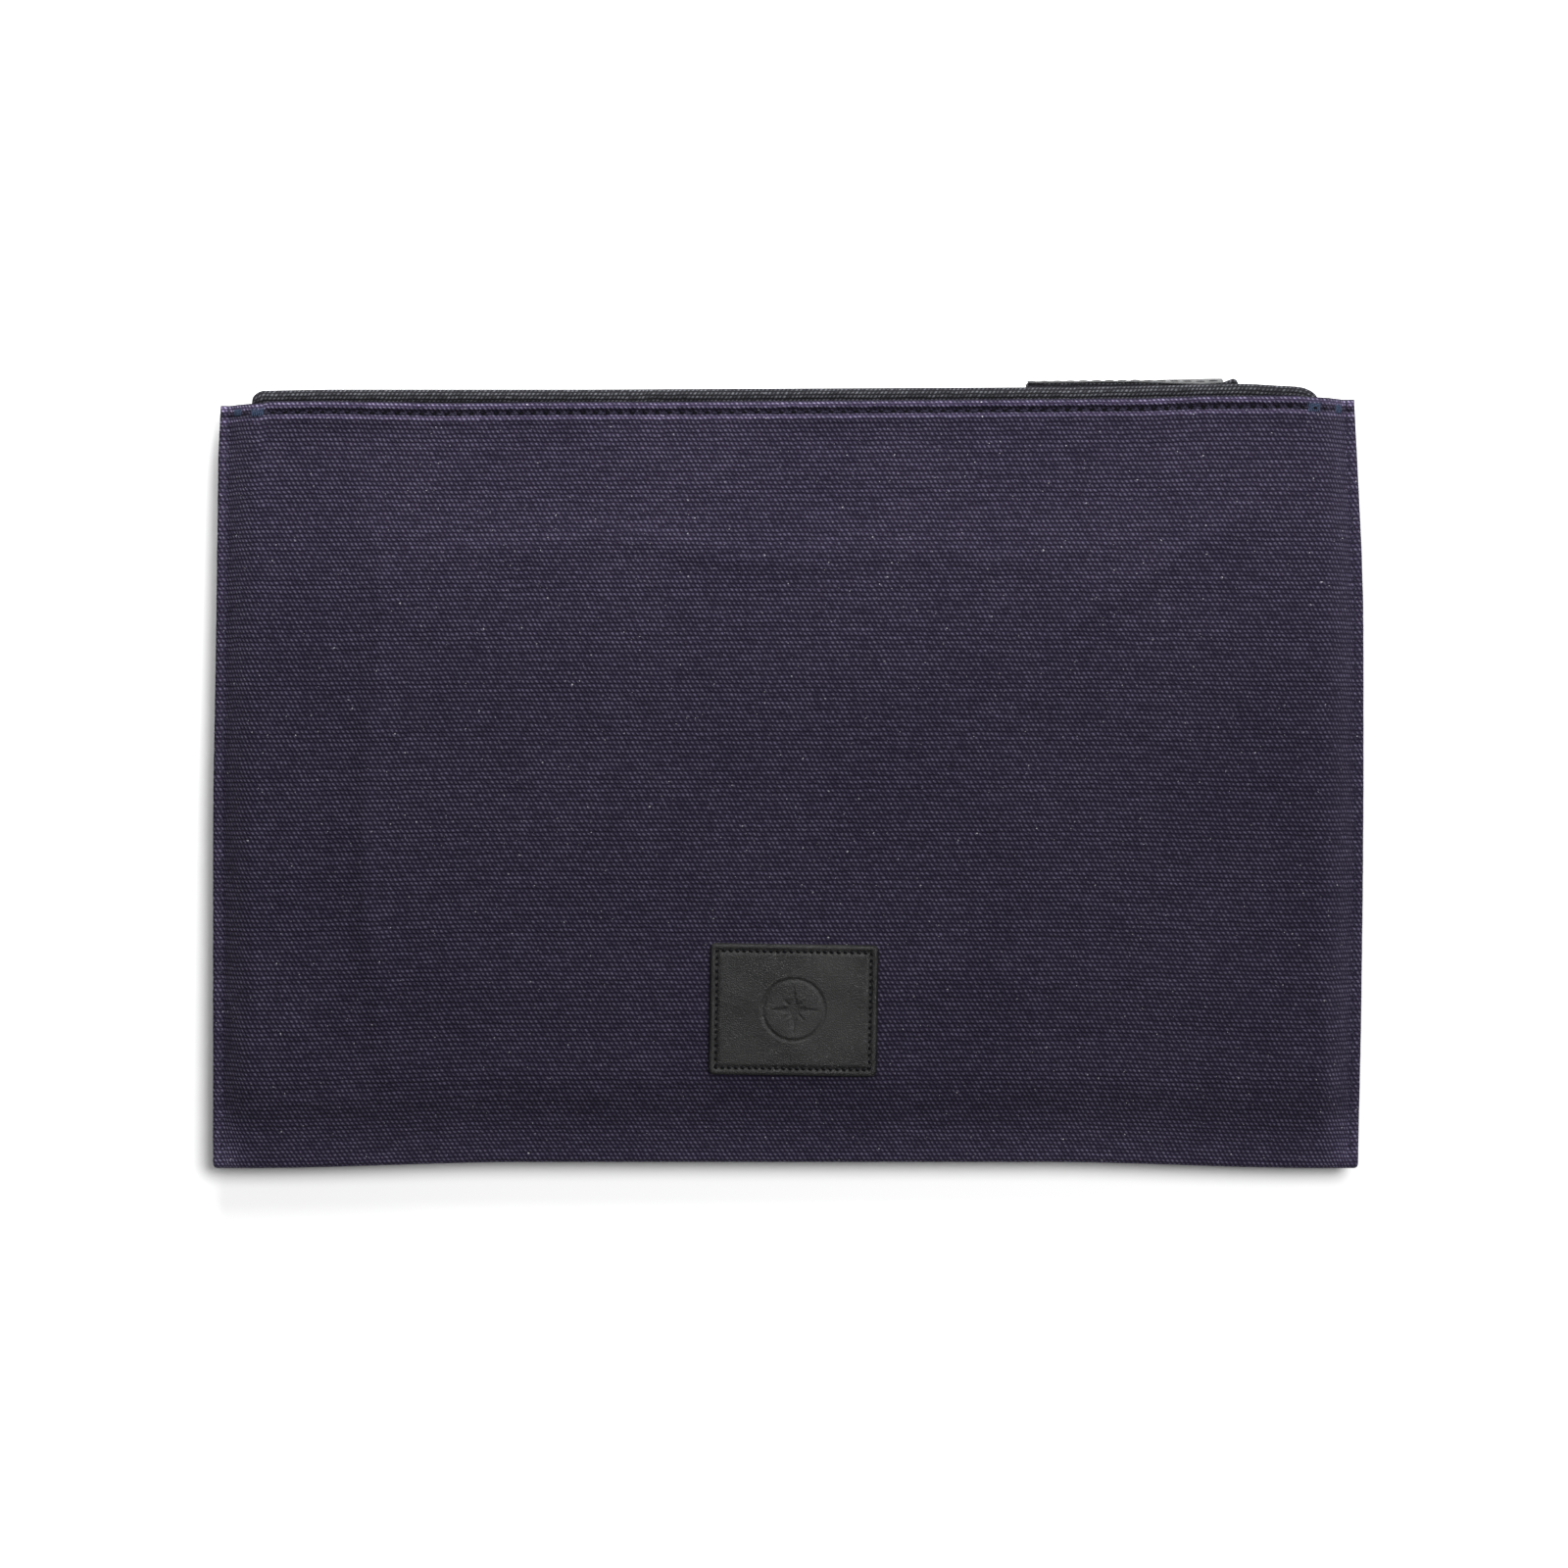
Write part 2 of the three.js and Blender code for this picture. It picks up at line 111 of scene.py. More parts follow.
lamp("key", (0.66, 0.40, 1.40), 1.0, 30)
lamp("grazing", (-0.05, 0.37, 0.20), 0.28, 2.5)
world = bpy.data.worlds.new("studio")
bpy.context.scene.world = world
bpy.context.scene.view_settings.view_transform = "Standard"
world.use_nodes = True
sky = world.node_tree.nodes["Background"].inputs
sky["Color"].default_value = (1, 1, 1, 1)
sky["Strength"].default_value = 0.16

floor_mesh = bpy.data.meshes.new("floor")
FLOOR = 3.0
floor_mesh.from_pydata(
    [(-FLOOR, -FLOOR, 0), (FLOOR, -FLOOR, 0), (FLOOR, FLOOR, 0), (-FLOOR, FLOOR, 0)], [], [(0, 1, 2, 3)]
)
floor = added("floor", floor_mesh)
print(f"floor: {2 * FLOOR:.0f} m square, {len(bpy.data.lights)} lamps")

# %% [markdown]
# ## Node helpers
# A material is a small graph. These helpers add a node and connect its inputs in one line, so that the
# graphs below read like sums.


# %% Helpers for shader graphs
def connect(tree, value, socket):
    if isinstance(value, bpy.types.NodeSocket):
        tree.links.new(value, socket)
    else:
        socket.default_value = value


def maths(tree, operation, *values):
    node = tree.nodes.new("ShaderNodeMath")
    node.operation = operation
    for value, socket in zip(values, node.inputs):
        connect(tree, value, socket)
    return node.outputs[0]


def ramp(tree, value, low, high):
    """0 below low, 1 above high, and smooth between."""
    node = tree.nodes.new("ShaderNodeMapRange")
    node.interpolation_type = "SMOOTHSTEP"
    connect(tree, value, node.inputs["Value"])
    node.inputs["From Min"].default_value = low
    node.inputs["From Max"].default_value = high
    return node.outputs["Result"]


def own_place(tree):
    return tree.nodes.new("ShaderNodeTexCoord").outputs["Object"]


def times(tree, colour, factor):
    """A colour made lighter or darker; factor is one number or one for each channel."""
    channels = factor if isinstance(factor, tuple) else (factor,) * 3
    return mixed(tree, 1.0, colour, (*channels, 1), "MULTIPLY")


def mixed(tree, factor, a, b, mode="MIX"):
    node = tree.nodes.new("ShaderNodeMix")
    node.data_type = "RGBA"
    node.blend_type = mode
    connect(tree, factor, node.inputs[0])
    connect(tree, a, node.inputs[6])
    connect(tree, b, node.inputs[7])
    return node.outputs[2]


def noise(tree, vector, scale, detail=2.0):
    node = tree.nodes.new("ShaderNodeTexNoise")
    connect(tree, vector, node.inputs["Vector"])
    node.inputs["Scale"].default_value = scale
    node.inputs["Detail"].default_value = detail
    return node.outputs["Fac"]


def new_group(name, inputs, outputs):
    """A shader group with float inputs, given as {name: value}, and a Vector input."""
    tree = bpy.data.node_groups.new(name, "ShaderNodeTree")
    tree.interface.new_socket("Vector", in_out="INPUT", socket_type="NodeSocketVector")
    for label, value in inputs.items():
        socket = tree.interface.new_socket(label, in_out="INPUT", socket_type="NodeSocketFloat")
        socket.default_value = value
    for label in outputs:
        tree.interface.new_socket(label, in_out="OUTPUT", socket_type="NodeSocketFloat")
    return tree, tree.nodes.new("NodeGroupInput").outputs, tree.nodes.new("NodeGroupOutput").inputs


def use_group(tree, group, vector, **values):
    node = tree.nodes.new("ShaderNodeGroup")
    node.node_tree = group
    connect(tree, vector, node.inputs["Vector"])
    for label, value in values.items():
        node.inputs[label].default_value = value
    return node.outputs


# %% [markdown]
# ## The weave
# Canvas is a plain weave: each weft thread goes over one warp thread and under the next, and the next row
# does the opposite. So the cloth is divided into rows, and every row into floats that are half a step off
# the row before. Yarn is spun, so each float gets its own brightness and leans a little with the twist.
# A fine noise over everything is the fuzz.

# %% Plain weave group
LEAN = 0.45
FIBRES = 2600

weave_tree, given, result = new_group(
    "plain weave",
    {"Across": 0.000953, "Along": 0.000902, "Wander": 0.5, "Uneven": 0.8},
    ["Height", "Float", "Slub"],
)
calc = partial(maths, weave_tree)
split = weave_tree.nodes.new("ShaderNodeSeparateXYZ")
weave_tree.links.new(given["Vector"], split.inputs[0])
bend = calc("SUBTRACT", noise(weave_tree, given["Vector"], 300), 0.5)
bend = calc("MULTIPLY", bend, given["Wander"])
along = calc("ADD", calc("DIVIDE", split.outputs["Y"], given["Along"]), bend)
row = calc("FLOOR", along)
in_row = calc("SUBTRACT", calc("SUBTRACT", along, row), 0.5)
half_step = calc("MULTIPLY", calc("FLOORED_MODULO", row, 2), 0.5)
lean = calc("MULTIPLY_ADD", in_row, LEAN, half_step)
across = calc("ADD", calc("DIVIDE", split.outputs["X"], given["Across"]), lean)
across = calc("ADD", across, bend)
column = calc("FLOOR", across)
in_column = calc("SUBTRACT", calc("SUBTRACT", across, column), 0.5)
round_row = calc("COSINE", calc("MULTIPLY", in_row, math.pi))
round_float = calc("COSINE", calc("MULTIPLY", in_column, math.tau))
peaks = calc("MULTIPLY", calc("MULTIPLY_ADD", round_float, 0.4, 0.6), round_row)
cell = weave_tree.nodes.new("ShaderNodeCombineXYZ")
weave_tree.links.new(column, cell.inputs["X"])
weave_tree.links.new(row, cell.inputs["Y"])
chance = weave_tree.nodes.new("ShaderNodeTexWhiteNoise")
chance.noise_dimensions = "2D"
weave_tree.links.new(cell.outputs[0], chance.inputs["Vector"])
uneven = calc("MULTIPLY", calc("SUBTRACT", chance.outputs["Value"], 0.5), given["Uneven"])
fuzz = calc("MULTIPLY_ADD", noise(weave_tree, given["Vector"], FIBRES, 2), 3.2, -0.6)
lit = calc("MULTIPLY", calc("POWER", peaks, 1.9), calc("ADD", uneven, 1.0))
stretch = weave_tree.nodes.new("ShaderNodeVectorMath")
stretch.operation = "MULTIPLY"
weave_tree.links.new(given["Vector"], stretch.inputs[0])
stretch.inputs[1].default_value = (110, 900, 0)
slub = noise(weave_tree, stretch.outputs[0], 1.0, 3)
weave_tree.links.new(calc("MULTIPLY_ADD", slub, 0.4, peaks), result["Height"])
weave_tree.links.new(calc("MULTIPLY", lit, fuzz), result["Float"])
weave_tree.links.new(slub, result["Slub"])

# %% [markdown]
# ## Lint
# Dark cloth shows every pale fibre. A fine noise does it: only its rare peaks are let through.

# %% Lint group
lint_tree, given, result = new_group("lint", {"Size": 1300.0, "Rarity": 0.74}, ["Mask"])
spots = lint_tree.nodes.new("ShaderNodeTexNoise")
spots.inputs["Detail"].default_value = 1.0
lint_tree.links.new(given["Vector"], spots.inputs["Vector"])
lint_tree.links.new(given["Size"], spots.inputs["Scale"])
over = maths(lint_tree, "SUBTRACT", spots.outputs["Fac"], given["Rarity"])
lint_tree.links.new(ramp(lint_tree, over, 0.0, 0.06), result["Mask"])

# %% [markdown]
# ## Leather grain
# Smooth leather is a net of fine creases round small pebbles, which is what Voronoi cells draw. The pebbles
# are about a third of a millimetre, far finer than the stitches.

# %% Leather grain group
grain_tree, given, result = new_group("leather grain", {"Pebble": 2600.0}, ["Height", "Wear"])
cells = grain_tree.nodes.new("ShaderNodeTexVoronoi")
cells.feature = "DISTANCE_TO_EDGE"
grain_tree.links.new(given["Vector"], cells.inputs["Vector"])
grain_tree.links.new(given["Pebble"], cells.inputs["Scale"])
pebbles = ramp(grain_tree, cells.outputs["Distance"], 0.0, 0.25)
rough = noise(grain_tree, given["Vector"], 900, 4)
grain_tree.links.new(maths(grain_tree, "MULTIPLY_ADD", rough, 0.6, pebbles), result["Height"])
grain_tree.links.new(noise(grain_tree, given["Vector"], 70, 5), result["Wear"])


# %% [markdown]
# ## Finishes
# The Principled shader stays in each material, and the groups feed it. Cloth reads the UV map named
# "cloth", which holds each point's place on the flat cloth in metres, so that the weave goes round a fold
# with the fabric. Metal and leather read their own coordinates.


# %% Helpers for materials
def new_material(name):
    material = bpy.data.materials.new(name)
    material.use_nodes = True
    return material, material.node_tree, material.node_tree.nodes["Principled BSDF"].inputs


def feed(tree, sockets, values):
    """Connects or sets the shader's sockets, given as {name: value}."""
    for label, value in values.items():
        connect(tree, value, sockets[label])


def cloth_vector(tree):
    node = tree.nodes.new("ShaderNodeUVMap")
    node.uv_map = "cloth"
    return node.outputs[0]


def bump(tree, height, distance):
    node = tree.nodes.new("ShaderNodeBump")
    node.inputs["Distance"].default_value = distance
    tree.links.new(height, node.inputs["Height"])
    return node.outputs[0]


# %% Canvas
LINT = (0.17, 0.165, 0.18, 1)
SQUEEZED = 0.947


def canvas(name, shadow, thread, pitch, uneven, relief=0.00022):
    material, tree, sockets = new_material(name)
    vector = cloth_vector(tree)
    weave = use_group(tree, weave_tree, vector, Across=pitch, Along=pitch * SQUEEZED, Uneven=uneven)
    colour = mixed(tree, weave["Float"], shadow, thread)
    slubs = ramp(tree, weave["Slub"], 0.35, 0.75)
    colour = mixed(tree, slubs, colour, times(tree, colour, 1.35))
    cloud = ramp(tree, noise(tree, vector, 28, 4), 0.3, 0.7)
    colour = mixed(tree, cloud, times(tree, colour, (0.86, 0.86, 0.88)), colour)
    feed(tree, sockets, {
        "Base Color": mixed(tree, use_group(tree, lint_tree, vector)["Mask"], colour, LINT),
        "Roughness": maths(tree, "MULTIPLY_ADD", weave["Float"], -0.12, 0.95),
        "Specular IOR Level": 0.08,
        "Specular Tint": (0.72, 0.66, 1.0, 1),
        "Sheen Weight": 0.03,
        "Sheen Tint": (0.8, 0.75, 1.0, 1),
        "Sheen Roughness": 0.5,
        "Normal": bump(tree, weave["Height"], relief),
    })
    return material


navy_canvas = canvas(
    "navy canvas", (0.0080, 0.0061, 0.0126, 1), (0.052, 0.046, 0.070, 1), pitch=0.000953, uneven=0.9
)
black_canvas = canvas(
    "black canvas", (0.012, 0.012, 0.013, 1), (0.092, 0.095, 0.104, 1), pitch=0.00086, uneven=1.3
)


# %% Painted light and shade along folds and seams
def paint_fold_light_and_shade(material, marks, scallop, sides):
    """Paints light and shade into the cloth's colour at set distances along it, and towards its sides.

    marks lists (distance, reach, factor, scalloped). sides is (the cloth's middle, where the painted
    light on the sides begins, where it is full, its factor).
    """
    tree = material.node_tree
    base = tree.nodes["Principled BSDF"].inputs["Base Color"]
    colour = base.links[0].from_socket
    split = tree.nodes.new("ShaderNodeSeparateXYZ")
    tree.links.new(cloth_vector(tree), split.inputs[0])
    ragged = maths(tree, "MULTIPLY_ADD", noise(tree, cloth_vector(tree), 700, 3), 0.0012, -0.0006)
    along = maths(tree, "ADD", split.outputs["Y"], ragged)
    wave = maths(tree, "COSINE", maths(tree, "MULTIPLY", split.outputs["X"], math.tau / scallop))
    for distance, reach, factor, scalloped in marks:
        away = maths(tree, "ABSOLUTE", maths(tree, "ADD", along, distance))
        near = maths(tree, "SUBTRACT", 1.0, ramp(tree, away, 0.2 * reach, reach))
        if scalloped:
            near = maths(tree, "MULTIPLY", near, maths(tree, "MULTIPLY_ADD", wave, 0.4, 0.6))
        colour = mixed(tree, near, colour, times(tree, colour, factor))
    middle, begins, full, factor = sides
    across = maths(tree, "SUBTRACT", split.outputs["X"], middle)
    aside = ramp(tree, maths(tree, "ABSOLUTE", across), begins, full)
    tree.links.new(mixed(tree, aside, colour, times(tree, colour, factor)), base)


# %% Finer cloths
def fine_cloth(name, shadow, thread, pitch, relief):
    material, tree, sockets = new_material(name)
    weave = use_group(tree, weave_tree, cloth_vector(tree), Across=pitch, Along=pitch, Wander=0.2)
    feed(tree, sockets, {
        "Base Color": mixed(tree, weave["Float"], shadow, thread),
        "Roughness": 0.8,
        "Sheen Weight": 0.1,
        "Normal": bump(tree, weave["Height"], relief),
    })
    return material


lining_cloth = fine_cloth(
    "lining twill", (0.030, 0.032, 0.040, 1), (0.080, 0.084, 0.098, 1), 0.0004, 0.00006
)
zip_tape_cloth = fine_cloth(
    "zip tape", (0.008, 0.008, 0.010, 1), (0.034, 0.036, 0.041, 1), 0.0006, 0.0001
)


# %% Leather
def leather(name, colour, worn, roughness, shine):
    material, tree, sockets = new_material(name)
    grain = use_group(tree, grain_tree, own_place(tree))
    wear = ramp(tree, grain["Wear"], 0.4, 0.75)
    feed(tree, sockets, {
        "Base Color": mixed(tree, wear, colour, worn),
        "Roughness": maths(tree, "MULTIPLY_ADD", wear, 0.12, roughness),
        "Specular IOR Level": shine,
        "Normal": bump(tree, grain["Height"], 0.00006),
    })
    return material


black_leather = leather("black leather", (0.006, 0.006, 0.0058, 1), (0.013, 0.013, 0.0125, 1), 0.4, 0.3)
# The leather on the strap is black like the patch's; its lighter grey base colour is a painted sheen.
strap_leather = leather("strap leather with painted sheen", (0.055, 0.056, 0.058, 1), (0.095, 0.095, 0.098, 1), 0.5, 0.45)


# %% Thread
def thread(name, colour, lit):
    material, tree, sockets = new_material(name)
    ply = ramp(tree, noise(tree, own_place(tree), 4000, 2), 0.35, 0.65)
    feed(tree, sockets, {
        "Base Color": mixed(tree, ply, colour, lit),
        "Roughness": 0.8,
        "Specular IOR Level": 0.1,
        "Normal": bump(tree, ply, 0.00004),
    })
    return material


navy_thread = thread("navy thread", (0.010, 0.008, 0.018, 1), (0.036, 0.033, 0.055, 1))
blue_thread = thread("blue thread", (0.014, 0.022, 0.045, 1), (0.045, 0.062, 0.105, 1))
black_thread = thread("black thread", (0.008, 0.008, 0.009, 1), (0.035, 0.035, 0.037, 1))
grey_thread = thread("grey thread", (0.10, 0.10, 0.11, 1), (0.22, 0.22, 0.23, 1))
# Painted shade: a near-black finish for the dark spots where the needle went through.
hole_shade = thread("painted hole shade", (0.001, 0.001, 0.002, 1), (0.003, 0.003, 0.004, 1))


# %% Nylon, metal and the floor's paper
def scuffed(name, colour, worn, scratches, low, roughness, rougher, metallic=0.0):
    """A hard finish with scuffs. scratches is their noise, as (scale, detail)."""
    material, tree, sockets = new_material(name)
    scuff = ramp(tree, noise(tree, own_place(tree), *scratches), low, 0.7)
    feed(tree, sockets, {
        "Base Color": mixed(tree, scuff, colour, worn),
        "Roughness": maths(tree, "MULTIPLY_ADD", scuff, rougher, roughness),
        "Metallic": metallic,
    })
    return material


nylon = scuffed("black nylon", (0.010, 0.010, 0.011, 1), (0.020, 0.020, 0.022, 1), (1500, 3), 0.4, 0.33, 0.15)
nickel = scuffed(
    "dark nickel", (0.18, 0.18, 0.185, 1), (0.30, 0.30, 0.30, 1), (700, 6), 0.45, 0.2, 0.18, metallic=1.0
)
white, tree, sockets = new_material("white paper")
paper = mixed(tree, noise(tree, own_place(tree), 3), (0.90, 0.90, 0.90, 1), (0.93, 0.93, 0.93, 1))
feed(tree, sockets, {"Base Color": paper, "Roughness": 0.9})
floor_mesh.materials.append(white)
print(f"finishes: {len(bpy.data.materials)}")

# %% [markdown]
# ## The pouch's swelling
# Both faces of the pouch are one idea: flat sewn edges, a roll up from them, and a level middle. `swell` is
# 0 at a seam and 1 on the level. `outline` draws the edges in where the cloth pulls: at the mouth, at the
# right of the bottom, and along the fold, which is highest in the middle.

# %% The pouch's shape
SEAM_HALF = 1.7
SEAM_WIDTH = 2.4
SIDE_ROLL = 7.0
FOLD_DEPTH = 1.6
BOTTOM_ROLL = 16.0
HEM_DEPTH = 10.0
CANVAS = 0.7
HEM_RADIUS = 0.8
FOLD_RISE = 1.3
CORNER = 1.6
TOP_CORNER = 0.8
CROWN = 0.7


def smooth(t):
    t = np.clip(t, 0, 1)
    return t * t * (3 - 2 * t)


HEM_X = (-120, -111, -109, -97, -72, -48, 0, 26, 50, 75, 87, 99, 107, 111, 120)
HEM_RISE = (-0.9, -0.9, -0.55, -0.45, -0.85, -0.65, -0.45, -0.25, -0.05, 0.15, 0.65, 0.7, 0.65, 0.4, 0.4)
SIDE_V = (0, 6.5, 19, 31, 43, 55, 67, 80, 92, 104, 117, 129, 141, 150, 156, 161)
LEFT_DRAW = (0, 0, 0, 0, 0, 0, 0, 0.05, 0.3, 0.5, 0.7, 0.85, 1.0, 1.1, 1.4, 1.6)
RIGHT_DRAW = (1.15, 1.05, 0.75, 0.5, 0.35, 0.18, 0.08, 0, 0, 0, 0.05, 0.4, 1.0, 1.45, 1.75, 2.0)


def hem_wave(u):
    """How far the hem's edge wanders from a straight line."""
    return np.interp(u, HEM_X, HEM_RISE)


def outline(u, v):
    """The place seen from above, of a point u from the middle and v from the fold on the squared cloth."""
    u, v = np.broadcast_arrays(np.asarray(u, float), np.asarray(v, float))
    draw = np.where(u > 0, np.interp(v, SIDE_V, RIGHT_DRAW), np.interp(v, SIDE_V, LEFT_DRAW))
    corner = np.clip(CORNER - v, 0, CORNER)
    top_corner = np.clip(v - HEIGHT + TOP_CORNER, 0, TOP_CORNER)
    rounding = CORNER - np.sqrt(CORNER**2 - corner**2) + TOP_CORNER - np.sqrt(TOP_CORNER**2 - top_corner**2)
    x = u * (1 - (draw + rounding) / HALF)
    rise = FOLD_RISE * smooth((112 - np.abs(u)) / 58)
    y = v + rise * (1 - v / HEIGHT) + hem_wave(u) * smooth((v - 120) / 40)
    return x, y


def swell(u, v):
    side = np.clip((HALF - SEAM_WIDTH - np.abs(u)) / SIDE_ROLL, 0, 1)
    foot = np.clip((v - FOLD_DEPTH) / BOTTOM_ROLL, 0, 1)
    return np.sin(math.pi / 2 * side) * (0.6 * foot + 0.4 * np.sin(math.pi / 2 * foot))


def place(x, y, z):
    """Millimetres from the fold to metres in the frame, as an array of points."""
    x, y, z = np.broadcast_arrays(x, y, z)
    return np.stack([x, np.asarray(y) + ORIGIN_Y, z], axis=-1).reshape(-1, 3) * MM


# %% [markdown]
# ## Settling the front
# Empty canvas doesn't lie dead flat. We let a real cloth settle: a sheet pinned along its seams, cut a
# little too large, falls onto a low slab that stands for what is inside. It is made ten times life size,
# because the solver's smallest distances are meant for garments. Only the heights are kept, as relief.

# %% Cloth simulation of the front
LIFE = 10.0
SETTLE_U = 110.0
SETTLE_V = (14.0, 156.0)
COLUMNS, ROWS = 89, 57
FRAMES = 32
CLOTH = {
    "quality": 6, "mass": 0.4, "tension_stiffness": 40, "compression_stiffness": 40, "shear_stiffness": 15,
    "bending_stiffness": 3, "air_damping": 3, "shrink_min": -0.0035, "vertex_group_mass": "sewn",
}


def grid_faces(columns, rows):
    i, j = np.meshgrid(np.arange(columns - 1), np.arange(rows - 1))
    corner = (j * columns + i).ravel()
    return np.stack([corner, corner + 1, corner + columns + 1, corner + columns], axis=1)


def grid_object(name, us, vs, heights):
    mesh = bpy.data.meshes.new(name)
    u, v = np.meshgrid(us, vs)
    points = np.stack([u, v, heights], axis=-1).reshape(-1, 3) * MM * LIFE
    mesh.from_pydata(points.tolist(), [], grid_faces(len(us), len(vs)).tolist())
    return added(name, mesh)


def settle_front():
    us = np.linspace(-SETTLE_U, SETTLE_U, COLUMNS)
    vs = np.linspace(*SETTLE_V, ROWS)
    u, v = np.meshgrid(us, vs)
    ripple = 0.25 * np.sin(u / 17 + 0.6) * np.sin(v / 23 + 1.1) + 0.15 * np.sin(u / 9 - v / 13)
    cloth = grid_object("settling", us, vs, ripple)
    filled = smooth((98 - np.abs(u)) / 14) * smooth((v - 26) / 14) * smooth((140 - v) / 14)
    slab_height = -0.9 + 0.75 * filled
    slab = grid_object("slab", us, vs, slab_height)
    slab.modifiers.new("slab", "COLLISION")
    slab.collision.thickness_outer = 0.002
    group = cloth.vertex_groups.new(name="sewn")
    edge = (np.abs(u) > SETTLE_U - 1) | (v < SETTLE_V[0] + 1) | (v > SETTLE_V[1] - 1)
    group.add(np.flatnonzero(edge.ravel()).tolist(), 1.0, "REPLACE")
    modifier = cloth.modifiers.new("settle", "CLOTH")
    for label, value in CLOTH.items():
        setattr(modifier.settings, label, value)
    modifier.collision_settings.distance_min = 0.003
    modifier.collision_settings.use_self_collision = False
    modifier.point_cache.frame_start = 1
    modifier.point_cache.frame_end = FRAMES
    scene = bpy.context.scene
    for step in range(1, FRAMES + 1):
        scene.frame_set(step)
    settled = cloth.evaluated_get(bpy.context.evaluated_depsgraph_get())
    points = np.empty(len(settled.data.vertices) * 3, np.float32)
    settled.data.vertices.foreach_get("co", points)
    heights = points.reshape(ROWS, COLUMNS, 3)[:, :, 2] / (MM * LIFE)
    scene.frame_set(1)
    for made in (cloth, slab):
        data = made.data
        bpy.data.objects.remove(made)
        bpy.data.meshes.remove(data)
    return us, vs, np.clip(heights, -1.2, 1.2)


settled_u, settled_v, settled_heights = settle_front()
print(f"settled front: {settled_heights.min():.2f} to {settled_heights.max():.2f} mm")


# %% [markdown]
# ## Heights of the two faces
# The front adds the settled relief, a slight crown and the marks that sewing leaves: a groove where each
# row of stitches pulls the canvas down, and small puckers beside the seams. The back is the same without
# the crown, because it lies on the table.


# %% Face heights
def relief(u, v):
    """The settled cloth's height at u, v, by bilinear sampling."""
    i = np.clip((u - settled_u[0]) / (settled_u[1] - settled_u[0]), 0, COLUMNS - 1.001)
    j = np.clip((v - settled_v[0]) / (settled_v[1] - settled_v[0]), 0, ROWS - 1.001)
    i0, j0 = i.astype(int), j.astype(int)
    fi, fj = i - i0, j - j0
    near = settled_heights[j0, i0] * (1 - fi) + settled_heights[j0, i0 + 1] * fi
    far = settled_heights[j0 + 1, i0] * (1 - fi) + settled_heights[j0 + 1, i0 + 1] * fi
    return near * (1 - fj) + far * fj


HEM_STITCH = 2.3
SIDE_STITCH = 1.8
STITCH_PITCH = 2.56

PATCH = (35.0, 27.5)
PATCH_CENTRE = (1.1, 32.4)
PATCH_TURN = math.radians(-0.9)
PATCH_CORNER = 1.3
PATCH_THICK = 1.2
PATCH_STITCH = 1.55


def inside_outline(x, y):
    """How far inside the patch's rounded rectangle a point of the patch is; negative outside."""
    dx = np.abs(x) - (PATCH[0] / 2 - PATCH_CORNER)
    dy = np.abs(y) - (PATCH[1] / 2 - PATCH_CORNER)
    outside = np.hypot(np.maximum(dx, 0), np.maximum(dy, 0))
    return PATCH_CORNER - outside - np.minimum(np.maximum(dx, dy), 0)


def inside_patch(u, v):
    """How far inside the leather patch's outline a point of the front is; negative outside it."""
    c, s = math.cos(PATCH_TURN), math.sin(PATCH_TURN)
    du, dv = u - PATCH_CENTRE[0], v - PATCH_CENTRE[1]
    return inside_outline(c * du + s * dv, c * dv - s * du)


HEM_PROFILE_AT = (0, 0.8, 1.4, 2.0, 2.4, 2.8, 3.4, 4.6)
HEM_PROFILE = (0.25, 0.3, 0.0, -0.6, -0.75, -0.35, 0.15, 0)


def sewing(u, v):
    """Grooves along the rows of stitches, the puckers beside them, and the hem's soft edge."""
    from_top = HEIGHT - v
    hem = smooth((111 - np.abs(u)) / 3) * np.interp(from_top, HEM_PROFILE_AT, HEM_PROFILE)
    from_side = HALF - np.abs(u) - SIDE_STITCH
    side = 0.25 * np.exp(-((from_side / 0.5) ** 2))
    pucker = 0.12 * np.sin(v * 0.9 + 1.3 * np.sin(v * 0.23)) * np.exp(-((from_side / 4) ** 2))
    pucker += 0.12 * np.sin(u * 0.8 + 1.7 * np.sin(u * 0.19)) * np.exp(-(((from_top - 3) / 4) ** 2))
    return pucker + hem - side


def front_height(u, v):
    u, v = np.broadcast_arrays(np.asarray(u, float), np.asarray(v, float))
    share = swell(u, v)
    seam = SEAM_Z + SEAM_HALF
    crown = CROWN * (1 - (u / HALF) ** 2) * np.sin(math.pi * np.clip(v / HEIGHT, 0, 1)) ** 0.7
    inset = inside_patch(u, v)
    settled = relief(u, v) * (1 - 0.8 * smooth((inset + 7) / 5))
    pressed = 0.35 * np.exp(-(((inset + 0.3) / 0.6) ** 2))
    return seam + (THICKNESS - seam) * share + share * (crown + settled) + sewing(u, v) - pressed


def back_height(u, v):
    u, v = np.broadcast_arrays(np.asarray(u, float), np.asarray(v, float))
    share = swell(u, v)
    return (SEAM_Z - SEAM_HALF) * (1 - share) - (1 - share) * sewing(u, v)


# %% [markdown]
# ## The canvas shell
# One piece of canvas makes the whole outside. It starts inside the front's hem, rolls over the hem's edge,
# comes down the front, goes round the bottom fold and up the back. Both sides are turned in and sewn. So
# the mesh is one grid: along it runs that path, and across it the turned edges are a few extra columns.

# %% Path of the canvas, and its turned edges
EDGE_RADIUS = 0.8


